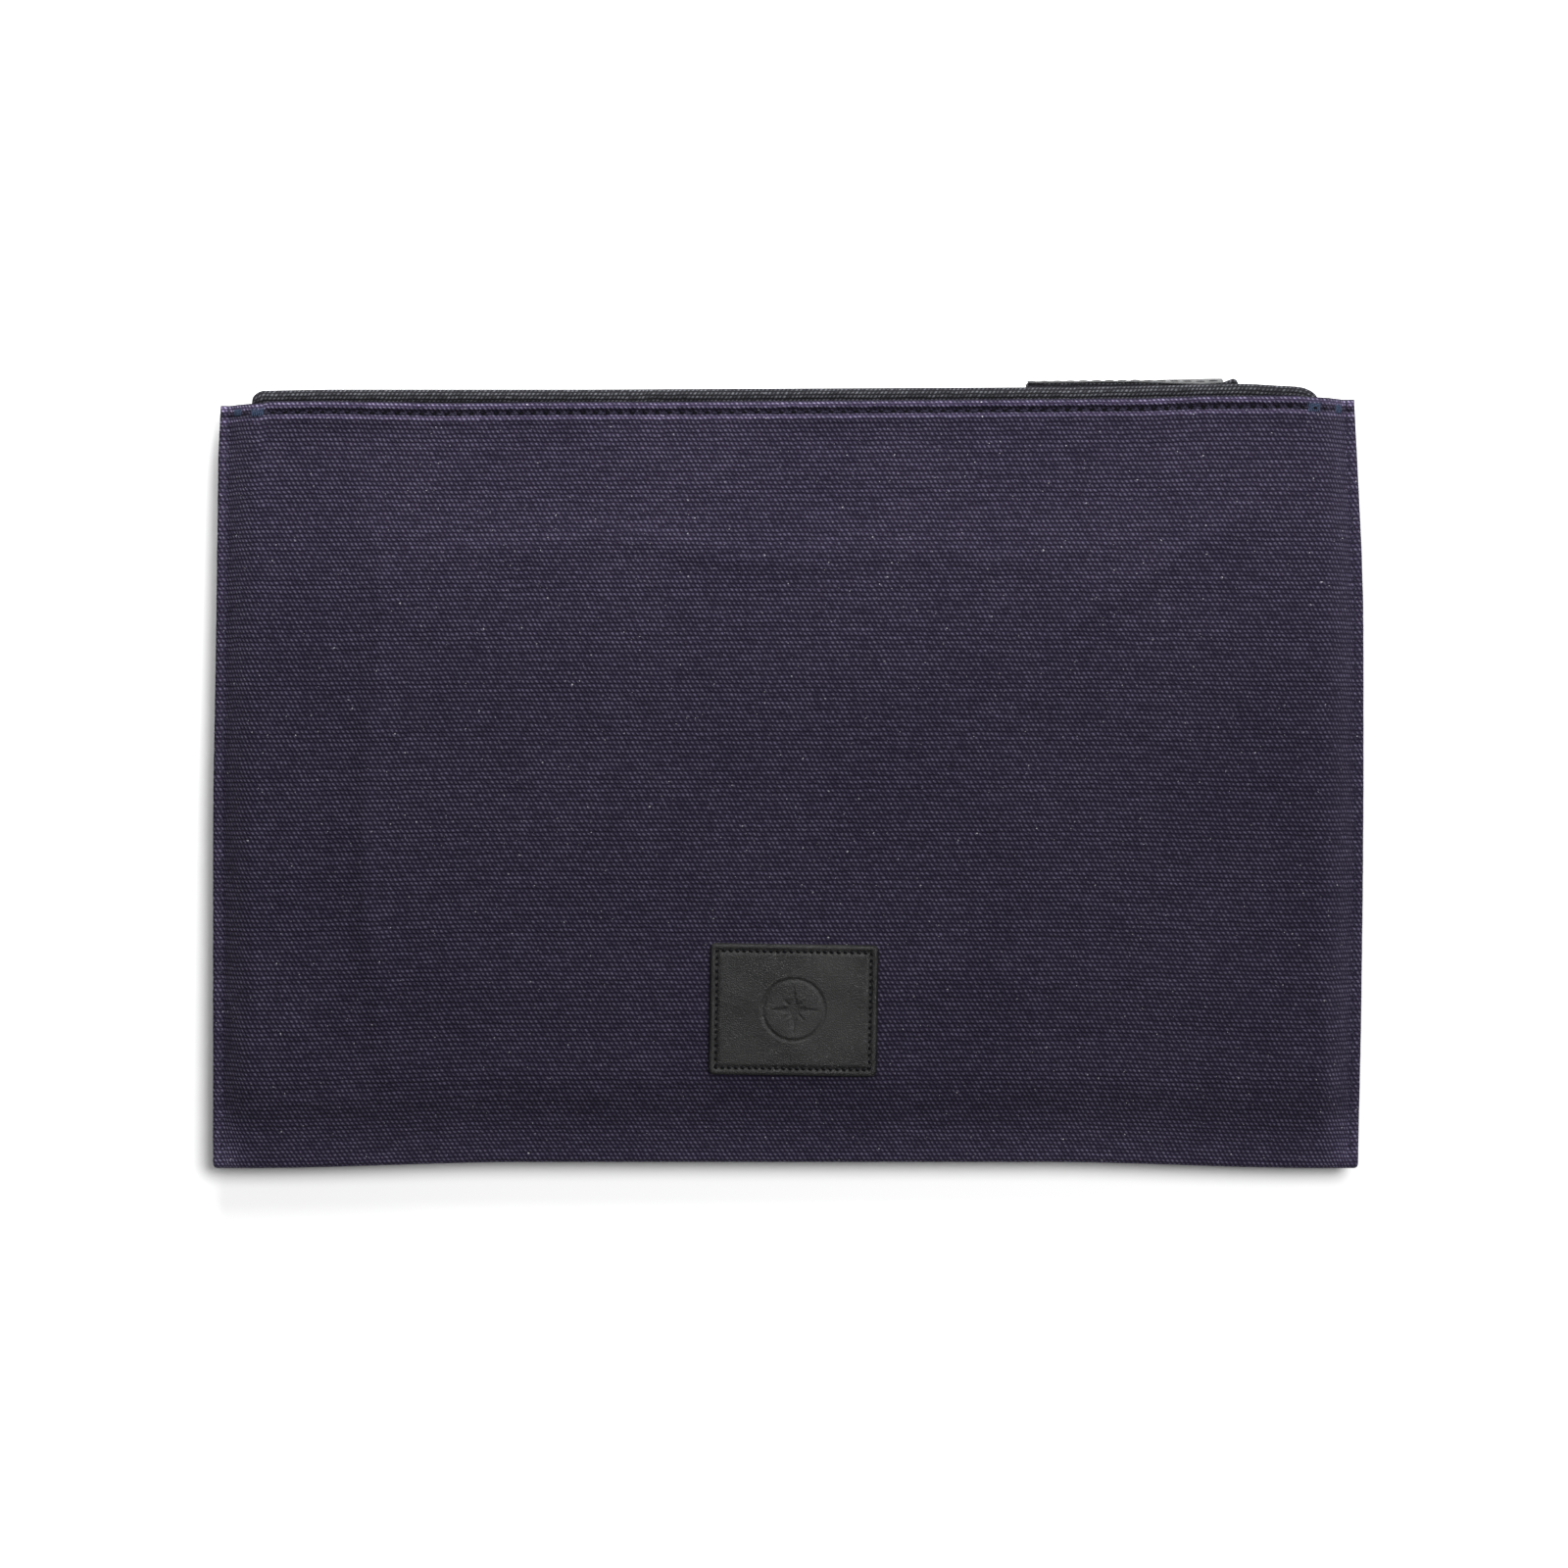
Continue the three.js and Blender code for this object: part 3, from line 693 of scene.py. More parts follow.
def path_rows():
    """Rows of the shell as (part, v, angle). A part is a stretch of the path that has its own formula."""
    rows = [("front inside", v, 0) for v in np.linspace(HEIGHT - HEM_DEPTH, HEIGHT - HEM_RADIUS, 5)[:-1]]
    rows += [("front roll", HEIGHT - HEM_RADIUS, a) for a in np.linspace(math.pi, 0, 9)[:-1]]
    fine = np.linspace(HEIGHT - HEM_RADIUS, HEIGHT - 5, 15)[:-1]
    level = np.linspace(HEIGHT - 5, FOLD_DEPTH + BOTTOM_ROLL, 66)[:-1]
    foot = np.linspace(FOLD_DEPTH + BOTTOM_ROLL, SEAM_HALF, 16)[:-1]
    down = np.concatenate([fine, level, foot])
    rows += [("front", v, 0) for v in down]
    rows += [("fold", SEAM_HALF, a) for a in np.linspace(0, math.pi, 13)]
    rows += [("back", v, 0) for v in down[::-1]]
    rows += [("back roll", HEIGHT - HEM_RADIUS, a) for a in np.linspace(0, math.pi, 9)[1:]]
    rows += [("back inside", v, 0) for v in np.linspace(HEIGHT - HEM_RADIUS, HEIGHT - HEM_DEPTH, 5)[1:]]
    return rows


def across_columns():
    """Columns of the shell as (u, drop): how far in from the face a turned edge has gone."""
    flat = HALF - SEAM_WIDTH - SIDE_ROLL
    middle = np.linspace(0, flat, 72)
    rolled = np.linspace(flat, HALF - SEAM_WIDTH, 12)[1:]
    sewn = np.linspace(HALF - SEAM_WIDTH, HALF - EDGE_RADIUS, 7)[1:]
    right = [(u, 0.0) for u in np.concatenate([middle, rolled, sewn])]
    for angle in np.linspace(0, math.pi / 2, 6)[1:]:
        sideways = EDGE_RADIUS * math.sin(angle)
        right.append((HALF - EDGE_RADIUS + sideways, EDGE_RADIUS * (1 - math.cos(angle))))
    right += [(HALF, 1.25), (HALF - 0.12, 1.5), (HALF - 0.4, 1.62), (HALF - 1.6, 1.64)]
    left = [(-u, drop) for u, drop in right[:0:-1]]
    return left + right


def shell_row(part, v, angle, u, drop):
    """One row's x, y and z, in millimetres."""
    x, y = outline(u, v)
    if part == "fold":
        reach = SEAM_HALF - drop
        return x, y - reach * math.sin(angle), SEAM_Z + reach * math.cos(angle)
    on_front = part.startswith("front")
    outwards = 1 if on_front else -1
    face = front_height(u, v) if on_front else back_height(u, v)
    if part.endswith("roll"):
        y = y + HEM_RADIUS * math.sin(angle)
        face = face - outwards * HEM_RADIUS * (1 - math.cos(angle))
        drop = drop * (1 + math.cos(angle)) / 2
    if part.endswith("inside"):
        face = face - outwards * 2 * HEM_RADIUS
        drop = 0
        x = np.clip(x, -HALF + SEAM_WIDTH, HALF - SEAM_WIDTH)
    return x, y, face - outwards * drop


# %% Helpers for meshes
def cloth_uv(mesh, across, along):
    """Stores each vertex's place on the flat cloth, in metres, in the UV map that the weaves read."""
    layer = mesh.uv_layers.new(name="cloth")
    loops = np.empty(len(mesh.loops), np.int32)
    mesh.loops.foreach_get("vertex_index", loops)
    flat = np.stack([np.ravel(across), np.ravel(along)], axis=1)[loops] * MM
    layer.data.foreach_set("uv", flat.ravel().astype(np.float32))


def new_piece(name, points, faces, material, uv=None):
    mesh = bpy.data.meshes.new(name)
    mesh.from_pydata(points.tolist(), [], faces.tolist() if isinstance(faces, np.ndarray) else faces)
    if uv:
        cloth_uv(mesh, *uv)
    mesh.materials.append(material)
    mesh.shade_smooth()
    return added(name, mesh)


def tube_faces(steps, count):
    """Faces of a closed tube of rings, each of count points, with a cap on both ends."""
    faces = []
    for k in range(steps - 1):
        for i in range(count):
            here, after = k * count + i, k * count + (i + 1) % count
            faces.append([here, after, after + count, here + count])
    last = (steps - 1) * count
    return faces + [list(range(count))[::-1], [last + i for i in range(count)]]


def lengths(steps):
    """How far along a path each of its points is."""
    return np.concatenate([[0], np.cumsum(np.linalg.norm(steps, axis=1))])


def finished(made):
    """Applies the modifiers by taking the evaluated mesh, and leaves a plain one."""
    graph = bpy.context.evaluated_depsgraph_get()
    mesh = bpy.data.meshes.new_from_object(made.evaluated_get(graph), depsgraph=graph)
    mesh.name = made.name
    made.modifiers.clear()
    made.data = mesh
    return made


def thicken(made, thickness, offset=-1.0, thick=None):
    """Gives a sheet its thickness. thick lists the vertices that get it, if not all of them do."""
    modifier = made.modifiers.new("thickness", "SOLIDIFY")
    if thick is not None:
        group = made.vertex_groups.new(name="thick")
        group.add(np.flatnonzero(thick).tolist(), 1.0, "REPLACE")
        modifier.vertex_group = "thick"
        modifier.thickness_vertex_group = 0.02
    modifier.thickness = thickness * MM
    modifier.offset = offset
    return finished(made)


def points_of(mesh):
    co = np.empty(len(mesh.vertices) * 3, np.float32)
    mesh.vertices.foreach_get("co", co)
    return co.reshape(-1, 3)


# %% [markdown]
# ## How the mouth would open
# The front is sewn to the back along both sides, so it can't swing up like a lid. It would bulge, its middle
# following the `front` body and its ends staying with the pouch. `lift` works out that bump as a weight, 0
# past the ends of the mouth, but doesn't store it, so the front's pieces are tied to no body.

# %% Lifting weights
MOUTH_HALF = 92.0


def lift(made, stays=None):
    """Bakes a piece of the front in place and works out its lifting weight, which is not stored. stays marks
    the vertices whose weight is set to 0.
    """
    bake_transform(made)
    points = points_of(made.data) / MM
    weight = smooth((MOUTH_HALF - np.abs(points[:, 0])) / MOUTH_HALF)
    weight = weight * smooth((points[:, 1] - ORIGIN_Y - FOLD_DEPTH) / 14)
    if stays is not None:
        weight = np.where(stays(points), 0, weight)


def hang(made, on_front):
    """Pieces of the front go through `lift`, and the others stay with the pouch."""
    if on_front:
        lift(made)
    else:
        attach(made, "pouch")


def is_back(points):
    return points[:, 2] < SEAM_Z


# %% Build the canvas shell
rows = path_rows()
columns = across_columns()
column_u = np.array([u for u, _ in columns])
column_drop = np.array([drop for _, drop in columns])
shell_points = []
for part, v, angle in rows:
    x, y, z = shell_row(part, v, angle, column_u, column_drop)
    shell_points.append(place(x, y, z))
grid = np.array(shell_points)
flat_across = lengths(np.diff(grid[len(rows) // 3], axis=0)) / MM
flat_along = lengths(np.diff(grid[:, len(columns) // 2], axis=0)) / MM
uv = np.meshgrid(flat_across, -flat_along)
shell = new_piece(
    "canvas_shell", grid.reshape(-1, 3), grid_faces(len(columns), len(rows))[:, ::-1], navy_canvas, uv
)
corner_at = points_of(shell.data) / MM
at_corner = (corner_at[:, 1] - ORIGIN_Y > HEIGHT - 3.5) & (np.abs(corner_at[:, 0]) > HALF - 4.5)
thicken(shell, CANVAS, thick=~at_corner)
lift(shell, is_back)
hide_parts("back_panel", "front_panel")
wide, whole = flat_across[-1], flat_along[-1]
print(f"canvas cut: {wide:.0f} x {whole:.0f} mm, {len(shell.data.polygons)} faces")

# %% [markdown]
# ## Painted light on the canvas
# Light and shade are painted into the colour: a highlight on the hem's rolled edge, shade in the row of
# stitches, a highlight just below it, and lighter cloth towards the mouth, the bottom fold and both sides.

# %% Paint light and shade along the folds
hem_edge = flat_along[[part for part, _, _ in rows].index("front")]
# Each mark is its distance from the hem's edge and its reach, in mm, its factor, and whether it is scalloped.
# Every band is painted light: highlights, the stitches' shade, and lighter cloth at the mouth and the fold.
PAINTED_FOLD_LIGHT = (
    (0.1, 0.75, 3.0, False),
    (1.75, 0.95, 0.25, True),
    (3.0, 0.9, 1.9, False),
    (8, 60, 1.25, False),
    (whole / 2 - hem_edge - 1, 16, 1.3, False),
)
# Painted light: the side rolls are made lighter.
PAINTED_SIDE_LIGHT = (wide / 2 * MM, 0.108, 0.121, 1.5)
marks = []
for distance, reach, factor, scalloped in PAINTED_FOLD_LIGHT:
    for at in (hem_edge + distance, whole - hem_edge - distance):
        marks.append((at * MM, reach * MM, factor, scalloped))
paint_fold_light_and_shade(navy_canvas, marks, STITCH_PITCH * MM, PAINTED_SIDE_LIGHT)
print(f"marks on the canvas: {len(marks)}")

# %% [markdown]
# ## Linings and pockets
# The lining is a bag of thin twill inside the canvas, and the pockets are pieces of the same twill sewn on
# it. Each is a grid that follows its neighbour's height, with its top edge turned in as a small hem. The
# ones on the front go through the same `lift` as the front.

# %% Lining and pocket pieces
TWILL = 0.3
TOP_HEM = 6.0
SKIN = 1.0


def sewn_sheet(cad_node, u_range, v_range, height, on_front, hem=True):
    """A thin sheet over u and v. height(u, v) is its middle; a hem doubles its top edge."""
    us = np.linspace(*u_range, 73)
    vs = np.linspace(*v_range, 37)
    fold = []
    if hem:
        vs = np.concatenate([vs[:-1], np.linspace(v_range[1] - 0.5, v_range[1], 3)])
        fold = [(v_range[1], 0.5), (v_range[1] - 1, 0.6), (v_range[1] - TOP_HEM, 0.5)]
    side = 1 if on_front else -1
    lines = [(v, 0.0) for v in vs] + fold
    points, along = [], []
    for v, behind in lines:
        x, y = outline(us, v)
        points.append(place(x, y, height(us, np.full_like(us, v)) + side * behind))
        along.append(v if behind == 0 else 2 * v_range[1] - v)
    uv = np.meshgrid(us, along)
    faces = grid_faces(len(us), len(lines))
    piece = new_piece(f"{cad_node}_twill", np.concatenate(points), faces, lining_cloth, uv)
    thicken(piece, TWILL, 0)
    hang(piece, on_front)
    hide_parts(cad_node)


def pocket_ease(u, v, u_range, v_low):
    inside = np.minimum(np.minimum(u - u_range[0], u_range[1] - u), v - v_low)
    return 0.5 * smooth(inside / 6 - 0.4)


LINING_U = (-113.0, 113.0)
LINING_V = (6.0, HEIGHT - HEM_DEPTH)


def inside_height(u, v, rise, on_front):
    """The height of something rise further in than a face of the canvas."""
    return front_height(u, v) - rise if on_front else back_height(u, v) + rise


for side in ("front", "back"):
    skin = partial(inside_height, rise=SKIN + 0.2, on_front=side == "front")
    sewn_sheet(f"{side}_lining", LINING_U, LINING_V, skin, side == "front", hem=False)
print("linings: front, back")


# %% Pockets
def pocket_box(node):
    low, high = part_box(node)
    return (low.x / MM, high.x / MM), (low.y / MM - ORIGIN_Y, high.y / MM - ORIGIN_Y)


def slip_pocket(node, layer, on_front):
    """A pocket sewn on three sides. layer counts the pockets between it and the lining."""
    u_range, v_range = pocket_box(node)
    offset = SKIN + 0.85 + 0.6 * layer

    def height(u, v):
        return inside_height(u, v, offset + pocket_ease(u, v, u_range, v_range[0]), on_front)

    sewn_sheet(node, u_range, v_range, height, on_front)
    return u_range, v_range, height


pockets = {"passport_pocket": slip_pocket("passport_pocket", 0, False)}
for k in range(3):
    pockets[f"card_slot_{k + 1}"] = slip_pocket(f"card_slot_{k + 1}", k, False)
pockets["boarding_pass_pocket"] = slip_pocket("boarding_pass_pocket", 0, True)
print(f"pockets: {', '.join(pockets)}")


# %% [markdown]
# ## The zip's canvas flanges
# Beside the zip stands a roll of black canvas, folded from a strip whose tail is sewn behind the hem. A
# sweep suits it: one outline of the fold, carried along the zip, that shrinks to a rounded end and rises a
# little where the cloth does. The back one is the mirror image of the front one.


# %% Sweeps along the zip
def sweep(name, xs, section, material, back=False):
    """Carries section(x), a closed ring of (y, z) in millimetres, along the zip."""
    rings = np.array([section(x) for x in xs])
    if back:
        rings[:, :, 1] = 2 * ZIP_Z - rings[:, :, 1]
        rings = rings[:, ::-1]
    points = place(xs[:, None], rings[:, :, 0], rings[:, :, 1])
    uv = np.meshgrid(xs, lengths(np.diff(rings[len(xs) // 2], axis=0)), indexing="ij")
    return new_piece(name, points, tube_faces(len(xs), rings.shape[1]), material, uv)


def fit_zip(made, side, kind):
    """Hangs a flange, tape or coil. The front one stands for three CAD nodes, the back one for one."""
    node = f"{side}_zip_{kind}"
    hang(made, side == "front")
    if side == "front":
        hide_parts(node, f"{node}_left_end", f"{node}_right_end")
    else:
        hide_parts(node)


HEM_INNER = THICKNESS - 2 * HEM_RADIUS
FLANGE_ENDS = (-111.3, 109.9)
RISE_X = (-111, -109, -95, -42, 0, 40, 60, 94, 97, 101, 105, 107.5, 110)
RISE_Y = (161.7, 161.85, 162.1, 162.1, 162.3, 162.5, 162.6, 163.3, 163.2, 162.95, 162.75, 162.5, 162.2)


def flange_section(x):
    """The fold of canvas at x: a tail behind the hem, and a soft roll that falls away at both ends."""
    fall = 2.6 if x < 0 else 4.2
    end = np.clip(min(x - FLANGE_ENDS[0], FLANGE_ENDS[1] - x) / fall, 0, 1)
    roundness = math.sqrt(1 - (1 - end) ** 2)
    foot = HEIGHT - 1.2
    crown_y = foot + (np.interp(x, RISE_X, RISE_Y) - foot) * (0.35 + 0.65 * roundness)
    inner, outer = HEM_INNER - 1.15, HEM_INNER + 0.95 * (0.4 + 0.6 * roundness)
    middle, deep = (inner + outer) / 2, (outer - inner) / 2
    tall = min(1.3, (crown_y - foot) / 2)
    bulge = 0.08 * math.sin(x / 5.2 + math.sin(x / 17))
    ring = [(HEIGHT - 9, inner + 0.35), (HEIGHT - 2, inner + 0.2)]
    for angle in np.linspace(math.pi, -math.pi / 3, 17):
        ring.append((crown_y - tall + tall * math.sin(angle), middle + (deep + bulge) * math.cos(angle)))
    ring += [(foot + 0.2, HEM_INNER - 0.12), (HEIGHT - 9, HEM_INNER - 0.12)]
    return ring


near_end = 6 * (1 - np.cos(np.linspace(0, math.pi / 2, 16)))
left_end, right_end = FLANGE_ENDS
straight = np.arange(left_end + 7, right_end - 6.5, 1.1)
flange_x = np.concatenate([left_end + near_end, straight, right_end - near_end[::-1]])
for side in ("front", "back"):
    flange = sweep(f"{side}_flange_canvas", flange_x, flange_section, black_canvas, side == "back")
    fit_zip(flange, side, "flange")
print(f"flanges: {FLANGE_ENDS[1] - FLANGE_ENDS[0]:.0f} mm long")

# %% [markdown]
# ## The zip
# Each half is a tape with a nylon coil sewn to its edge. A coil is the clearest use of Geometry Nodes: a
# spiral curve is squeezed flat and given a round section. The two coils are half a turn apart, so that
# their loops pass between each other as real ones do.

# %% Tapes
coil_low, coil_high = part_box("back_zip_coil")
COIL_Y = (coil_low.y + coil_high.y) / 2 / MM - ORIGIN_Y
COIL_HALF = coil_high.x / MM
COIL_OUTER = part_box("front_zip_coil")[1].z / MM
TAPE = 0.4


def tape_section(x):
    ripple = 0.06 * math.sin(x / 4.3)
    leg = HEM_INNER - 1.3
    low, high = COIL_Y - TAPE / 2 + ripple, COIL_Y + TAPE / 2 + ripple
    return [
        (HEIGHT - HEM_DEPTH, leg - TAPE), (low - 0.8, leg - TAPE), (low, leg - TAPE - 0.5),
        (low, COIL_OUTER - 0.3), (high, COIL_OUTER - 0.3), (high, leg - 0.5), (high - 0.7, leg),
        (HEIGHT - HEM_DEPTH, leg),
    ]


for side in ("front", "back"):
    tape = sweep(f"{side}_tape", np.arange(-107.5, 108, 1.0), tape_section, zip_tape_cloth, side == "back")
    fit_zip(tape, side, "tape")
print("tapes: front, back")


# %% Helpers for Geometry Nodes
ON_ITS_SIDE = (0, math.pi / 2, 0)


def new_tree(name, **inputs):
    """A geometry tree with float inputs, given as name=value, and a geometry in and out."""
    tree = bpy.data.node_groups.new(name, "GeometryNodeTree")
    tree.interface.new_socket("Geometry", in_out="INPUT", socket_type="NodeSocketGeometry")
    for label, value in inputs.items():
        socket = tree.interface.new_socket(label, in_out="INPUT", socket_type="NodeSocketFloat")
        socket.default_value = value
    tree.interface.new_socket("Geometry", in_out="OUTPUT", socket_type="NodeSocketGeometry")
    return tree, tree.nodes.new("NodeGroupInput").outputs, tree.nodes.new("NodeGroupOutput").inputs


def add_node(tree, kind, inputs=None, **settings):
    node = tree.nodes.new(kind)
    for label, value in settings.items():
        setattr(node, label, value)
    for label, value in (inputs or {}).items():
        connect(tree, value, node.inputs[label])
    return node.outputs


def round_bar(tree, curve, sides, radius):
    """A curve with a round section, closed at its ends."""
    circle = add_node(tree, "GeometryNodeCurvePrimitiveCircle", {"Resolution": sides, "Radius": radius})
    return add_node(
        tree, "GeometryNodeCurveToMesh", {"Curve": curve, "Profile Curve": circle[0], "Fill Caps": True}
    )[0]


def dress(tree, result, geometry, material):
    """The last steps of every tree: smooth shading and a material."""
    shaded = add_node(tree, "GeometryNodeSetShadeSmooth", {"Geometry": geometry})
    painted = add_node(tree, "GeometryNodeSetMaterial", {"Geometry": shaded[0], "Material": material})
    tree.links.new(painted[0], result["Geometry"])


def grown(name, tree, values, points=()):
    """The tree's result as a plain mesh object. It starts from a path of points, in metres."""
    mesh = bpy.data.meshes.new(name)
    mesh.from_pydata(list(points), [(i, i + 1) for i in range(len(points) - 1)], [])
    made = added(name, mesh)
    modifier = made.modifiers.new("grown", "NODES")
    modifier.node_group = tree
    for label, value in values.items():
        modifier[tree.interface.items_tree[label].identifier] = value
    return finished(made)


# %% Coil tree
COIL_PITCH = 1.32
WIRE = 0.3
TURNS = int(2 * COIL_HALF / COIL_PITCH)

coil_tree, given, result = new_tree(
    "zip coil", Turns=100.0, Length=0.2, Wide=0.001, High=0.0008, Wire=0.0003
)
spiral = add_node(coil_tree, "GeometryNodeCurveSpiral", {
    "Resolution": 14, "Rotations": given["Turns"], "Start Radius": 1.0, "End Radius": 1.0,
    "Height": given["Length"],
})
squeeze = add_node(coil_tree, "ShaderNodeCombineXYZ", {"X": given["High"], "Y": given["Wide"], "Z": 1.0})
squeezed = add_node(coil_tree, "GeometryNodeTransform", {"Geometry": spiral[0], "Scale": squeeze[0]})
laid = add_node(coil_tree, "GeometryNodeTransform", {"Geometry": squeezed[0], "Rotation": ON_ITS_SIDE})
wire = round_bar(coil_tree, laid[0], 6, given["Wire"])
dress(coil_tree, result, wire, nylon)
print(f"coil pitch: {COIL_PITCH} mm")

# %% Coils
OVERLAP = 0.35
COIL_HIGH = 0.62
coil_wide = (COIL_OUTER - ZIP_Z + OVERLAP) / 2 - WIRE
for side, turn, shift in (("front", 1, 0.0), ("back", -1, COIL_PITCH / 2)):
    coil = grown(f"{side}_coil", coil_tree, {
        "Turns": float(TURNS), "Length": 2 * COIL_HALF * MM, "Wide": coil_wide * MM, "High": COIL_HIGH * MM,
        "Wire": WIRE * MM,
    })
    centre = ZIP_Z + turn * ((COIL_OUTER - ZIP_Z - OVERLAP) / 2)
    points = points_of(coil.data)
    points[:, 0] -= points[:, 0].min() + (COIL_HALF - shift) * MM
    points[:, 1] += (COIL_Y + ORIGIN_Y) * MM
    points[:, 2] += centre * MM
    coil.data.vertices.foreach_set("co", points.ravel())
    fit_zip(coil, side, "coil")
    print(f"{side} coil: {TURNS} turns, {len(coil.data.polygons)} faces")

# %% [markdown]
# ## Metal
# The slider, its bridge, the link and the stops have the right shape already. Cast and stamped metal has no
# knife edges, though, so each is copied, its loose triangles are merged, and a bevel rounds every corner.


# %% Rounded metal pieces
def rounded(made, width, angle):
    bevel = made.modifiers.new("rounding", "BEVEL")
    bevel.width = width * MM
    bevel.segments = 3
    bevel.limit_method = "ANGLE"
    bevel.angle_limit = math.radians(angle)
    return finished(made)


def rounded_copy(node, name, width, body):
    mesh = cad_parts[node].data.copy()
    mesh.name = name
    working = bmesh.new()
    working.from_mesh(mesh)
    bmesh.ops.remove_doubles(working, verts=working.verts, dist=1e-6)
    bmesh.ops.dissolve_limit(working, angle_limit=math.radians(2), verts=working.verts, edges=working.edges)
    working.to_mesh(mesh)
    working.free()
    mesh.materials.clear()
    mesh.materials.append(nickel)
    made = rounded(added(name, mesh), width, 32)
    made.data.shade_smooth()
    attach(made, body)
    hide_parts(node)


# Each is its CAD node, its name, how much its corners are rounded in mm, and its body.
METAL = (
    ("slider_body", "slider", 0.14, "slider"),
    ("slider_bridge", "bridge", 0.16, "slider"),
    ("pull_link", "link", 0.28, "pull_link"),
    ("front_top_stop", "front_top_stop_metal", 0.22, "pouch"),
    ("back_top_stop", "back_top_stop_metal", 0.22, "pouch"),
    ("bottom_stop", "bottom_stop_metal", 0.22, "pouch"),
)
for node, name, width, body in METAL:
    rounded_copy(node, name, width, body)
print(f"metal pieces: {len(METAL)}")

# %% [markdown]
# ## The zip pull
# A canvas strap is folded in two round the link, with smooth leather on top. Both are ribbons: a rounded
# section that follows a path seen from the front. The leather has one even thickness, with rounded edges.

# %% Where the pull is
link_low, link_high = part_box("pull_link")
LINK_Y = (link_low.y + link_high.y) / 2 / MM - ORIGIN_Y
STRAP_BAR_X = link_low.x / MM + 0.5
strap_low, strap_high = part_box("strap_canvas")
STRAP_LEFT = strap_low.x / MM
STRAP_RIGHT = strap_high.x / MM
LOOP_HALF = (strap_high.z - strap_low.z) / 2 / MM
leather_low, leather_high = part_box("strap_leather")
LEATHER_HALF = (leather_high.z - leather_low.z) / 2 / MM


# %% Canvas strap
STRIP = 0.5
LOWER_LEG = 162.75
UPPER_LEG = 163.25
KNOB_Y = 163.5
KNOB = 0.62
STRAP_WIDE = 4.2


def strap_path():
    """The strap's middle line, seen from the front: out along the bottom, round the bar, back on top."""
    radius = STRAP_RIGHT - STRAP_BAR_X - 0.45
    line = [(x, LOWER_LEG) for x in np.linspace(STRAP_LEFT, STRAP_BAR_X - 3.4, 34)]
    line += [(STRAP_BAR_X - 2.2, LOWER_LEG - 0.25), (STRAP_BAR_X - 1.4, LOWER_LEG - 0.7)]
    for angle in np.linspace(-math.pi, 0, 12):
        line.append((STRAP_BAR_X + radius * math.cos(angle), LINK_Y + radius * math.sin(angle)))
    line.append((STRAP_BAR_X + radius, (LINK_Y + KNOB_Y) / 2))
    for angle in np.linspace(0, 0.7 * math.pi, 11):
        x = STRAP_BAR_X + radius - KNOB + KNOB * math.cos(angle)
        line.append((x, KNOB_Y + KNOB * math.sin(angle)))
    line += [(STRAP_BAR_X - 1.2, UPPER_LEG + 0.35), (STRAP_BAR_X - 2.4, UPPER_LEG + 0.08)]
    line += [(x, UPPER_LEG) for x in np.linspace(STRAP_BAR_X - 3.6, STRAP_LEFT, 34)]
    return np.array(line)


def ribbon(name, path, half_widths, thickness, material):
    """A strip with softened edges along a path of x and y. half_widths has one number for each point."""
    tangent = np.gradient(path, axis=0)
    tangent /= np.linalg.norm(tangent, axis=1)[:, None]
    normal = np.stack([-tangent[:, 1], tangent[:, 0]], axis=1) * thickness[:, None] / 2
    flat = (-0.94, -0.6, -0.3, 0, 0.3, 0.6, 0.94)
    ring = [(z, 1) for z in flat] + [(1, 0.55), (1, -0.55)]
    ring = np.array(ring + [(z, -1) for z in flat[::-1]] + [(-1, -0.55), (-1, 0.55)])
    x = path[:, :1] + normal[:, :1] * ring[:, 1]
    y = path[:, 1:] + normal[:, 1:] * ring[:, 1]
    z = ZIP_Z + half_widths[:, None] * ring[:, 0]
    faces = [face[::-1] for face in tube_faces(len(path), len(ring))]
    edge = np.diff(ring * (half_widths[0], thickness[0] / 2), axis=0)
    uv = np.meshgrid(lengths(np.diff(path, axis=0)), lengths(edge), indexing="ij")
    return new_piece(name, place(x, y, z), faces, material, uv)


path = strap_path()
narrow = smooth((path[:, 0] - 76) / 10)
bulk = STRIP + 0.4 * smooth((path[:, 0] - STRAP_BAR_X + 2) / 1.2)
half_widths = STRAP_WIDE + (LOOP_HALF - STRAP_WIDE) * narrow
strap = ribbon("strap_canvas_fold", path, half_widths, bulk, black_canvas)
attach(strap, "pull_strap")
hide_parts("strap_canvas")
print(f"strap: {STRAP_RIGHT - STRAP_LEFT:.1f} mm long")

# %% Leather on the strap
LEATHER = 0.4
CREST_X = (49.8, 60, 70, 80, 88, 90.6)
CREST_Y = (163.9, 164.0, 164.25, 164.6, 164.8, 164.8)
DROOP_X = (49.8, 62, 72, 80, 86, 90.6)
DROOP = (0.08, 0.1, 0.35, 1.0, 1.4, 1.1)


def leather_top(x, z):
    """Height of the leather's upper face; it hangs down beside the canvas where that is narrow."""
    droop = np.interp(x, DROOP_X, DROOP) * np.abs(z / LEATHER_HALF) ** 1.8
    return np.interp(x, CREST_X, CREST_Y) - droop


leather_x = np.linspace(leather_low.x / MM, leather_high.x / MM, 60)
leather_z = np.linspace(-LEATHER_HALF, LEATHER_HALF, 21)
x, z = np.meshgrid(leather_x, leather_z)
tab = new_piece(
    "strap_leather_tab", place(x, leather_top(x, z), ZIP_Z + z), grid_faces(60, 21)[:, ::-1], strap_leather
)
rounded(thicken(tab, LEATHER), 0.14, 40)
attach(tab, "pull_strap")
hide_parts("strap_leather")
print(f"strap leather with painted sheen: {leather_x[-1] - leather_x[0]:.1f} mm long")

# %% [markdown]
# ## The leather patch
# The patch is a small sheet of leather with its own relief: a rounded, burnished rim, a groove that the
# stitches lie in, and a pressed mark. The mark is a plain compass: a ring round an eight-pointed star.
# All three are heights on a fine grid, so they are real shape and catch the light from any side.

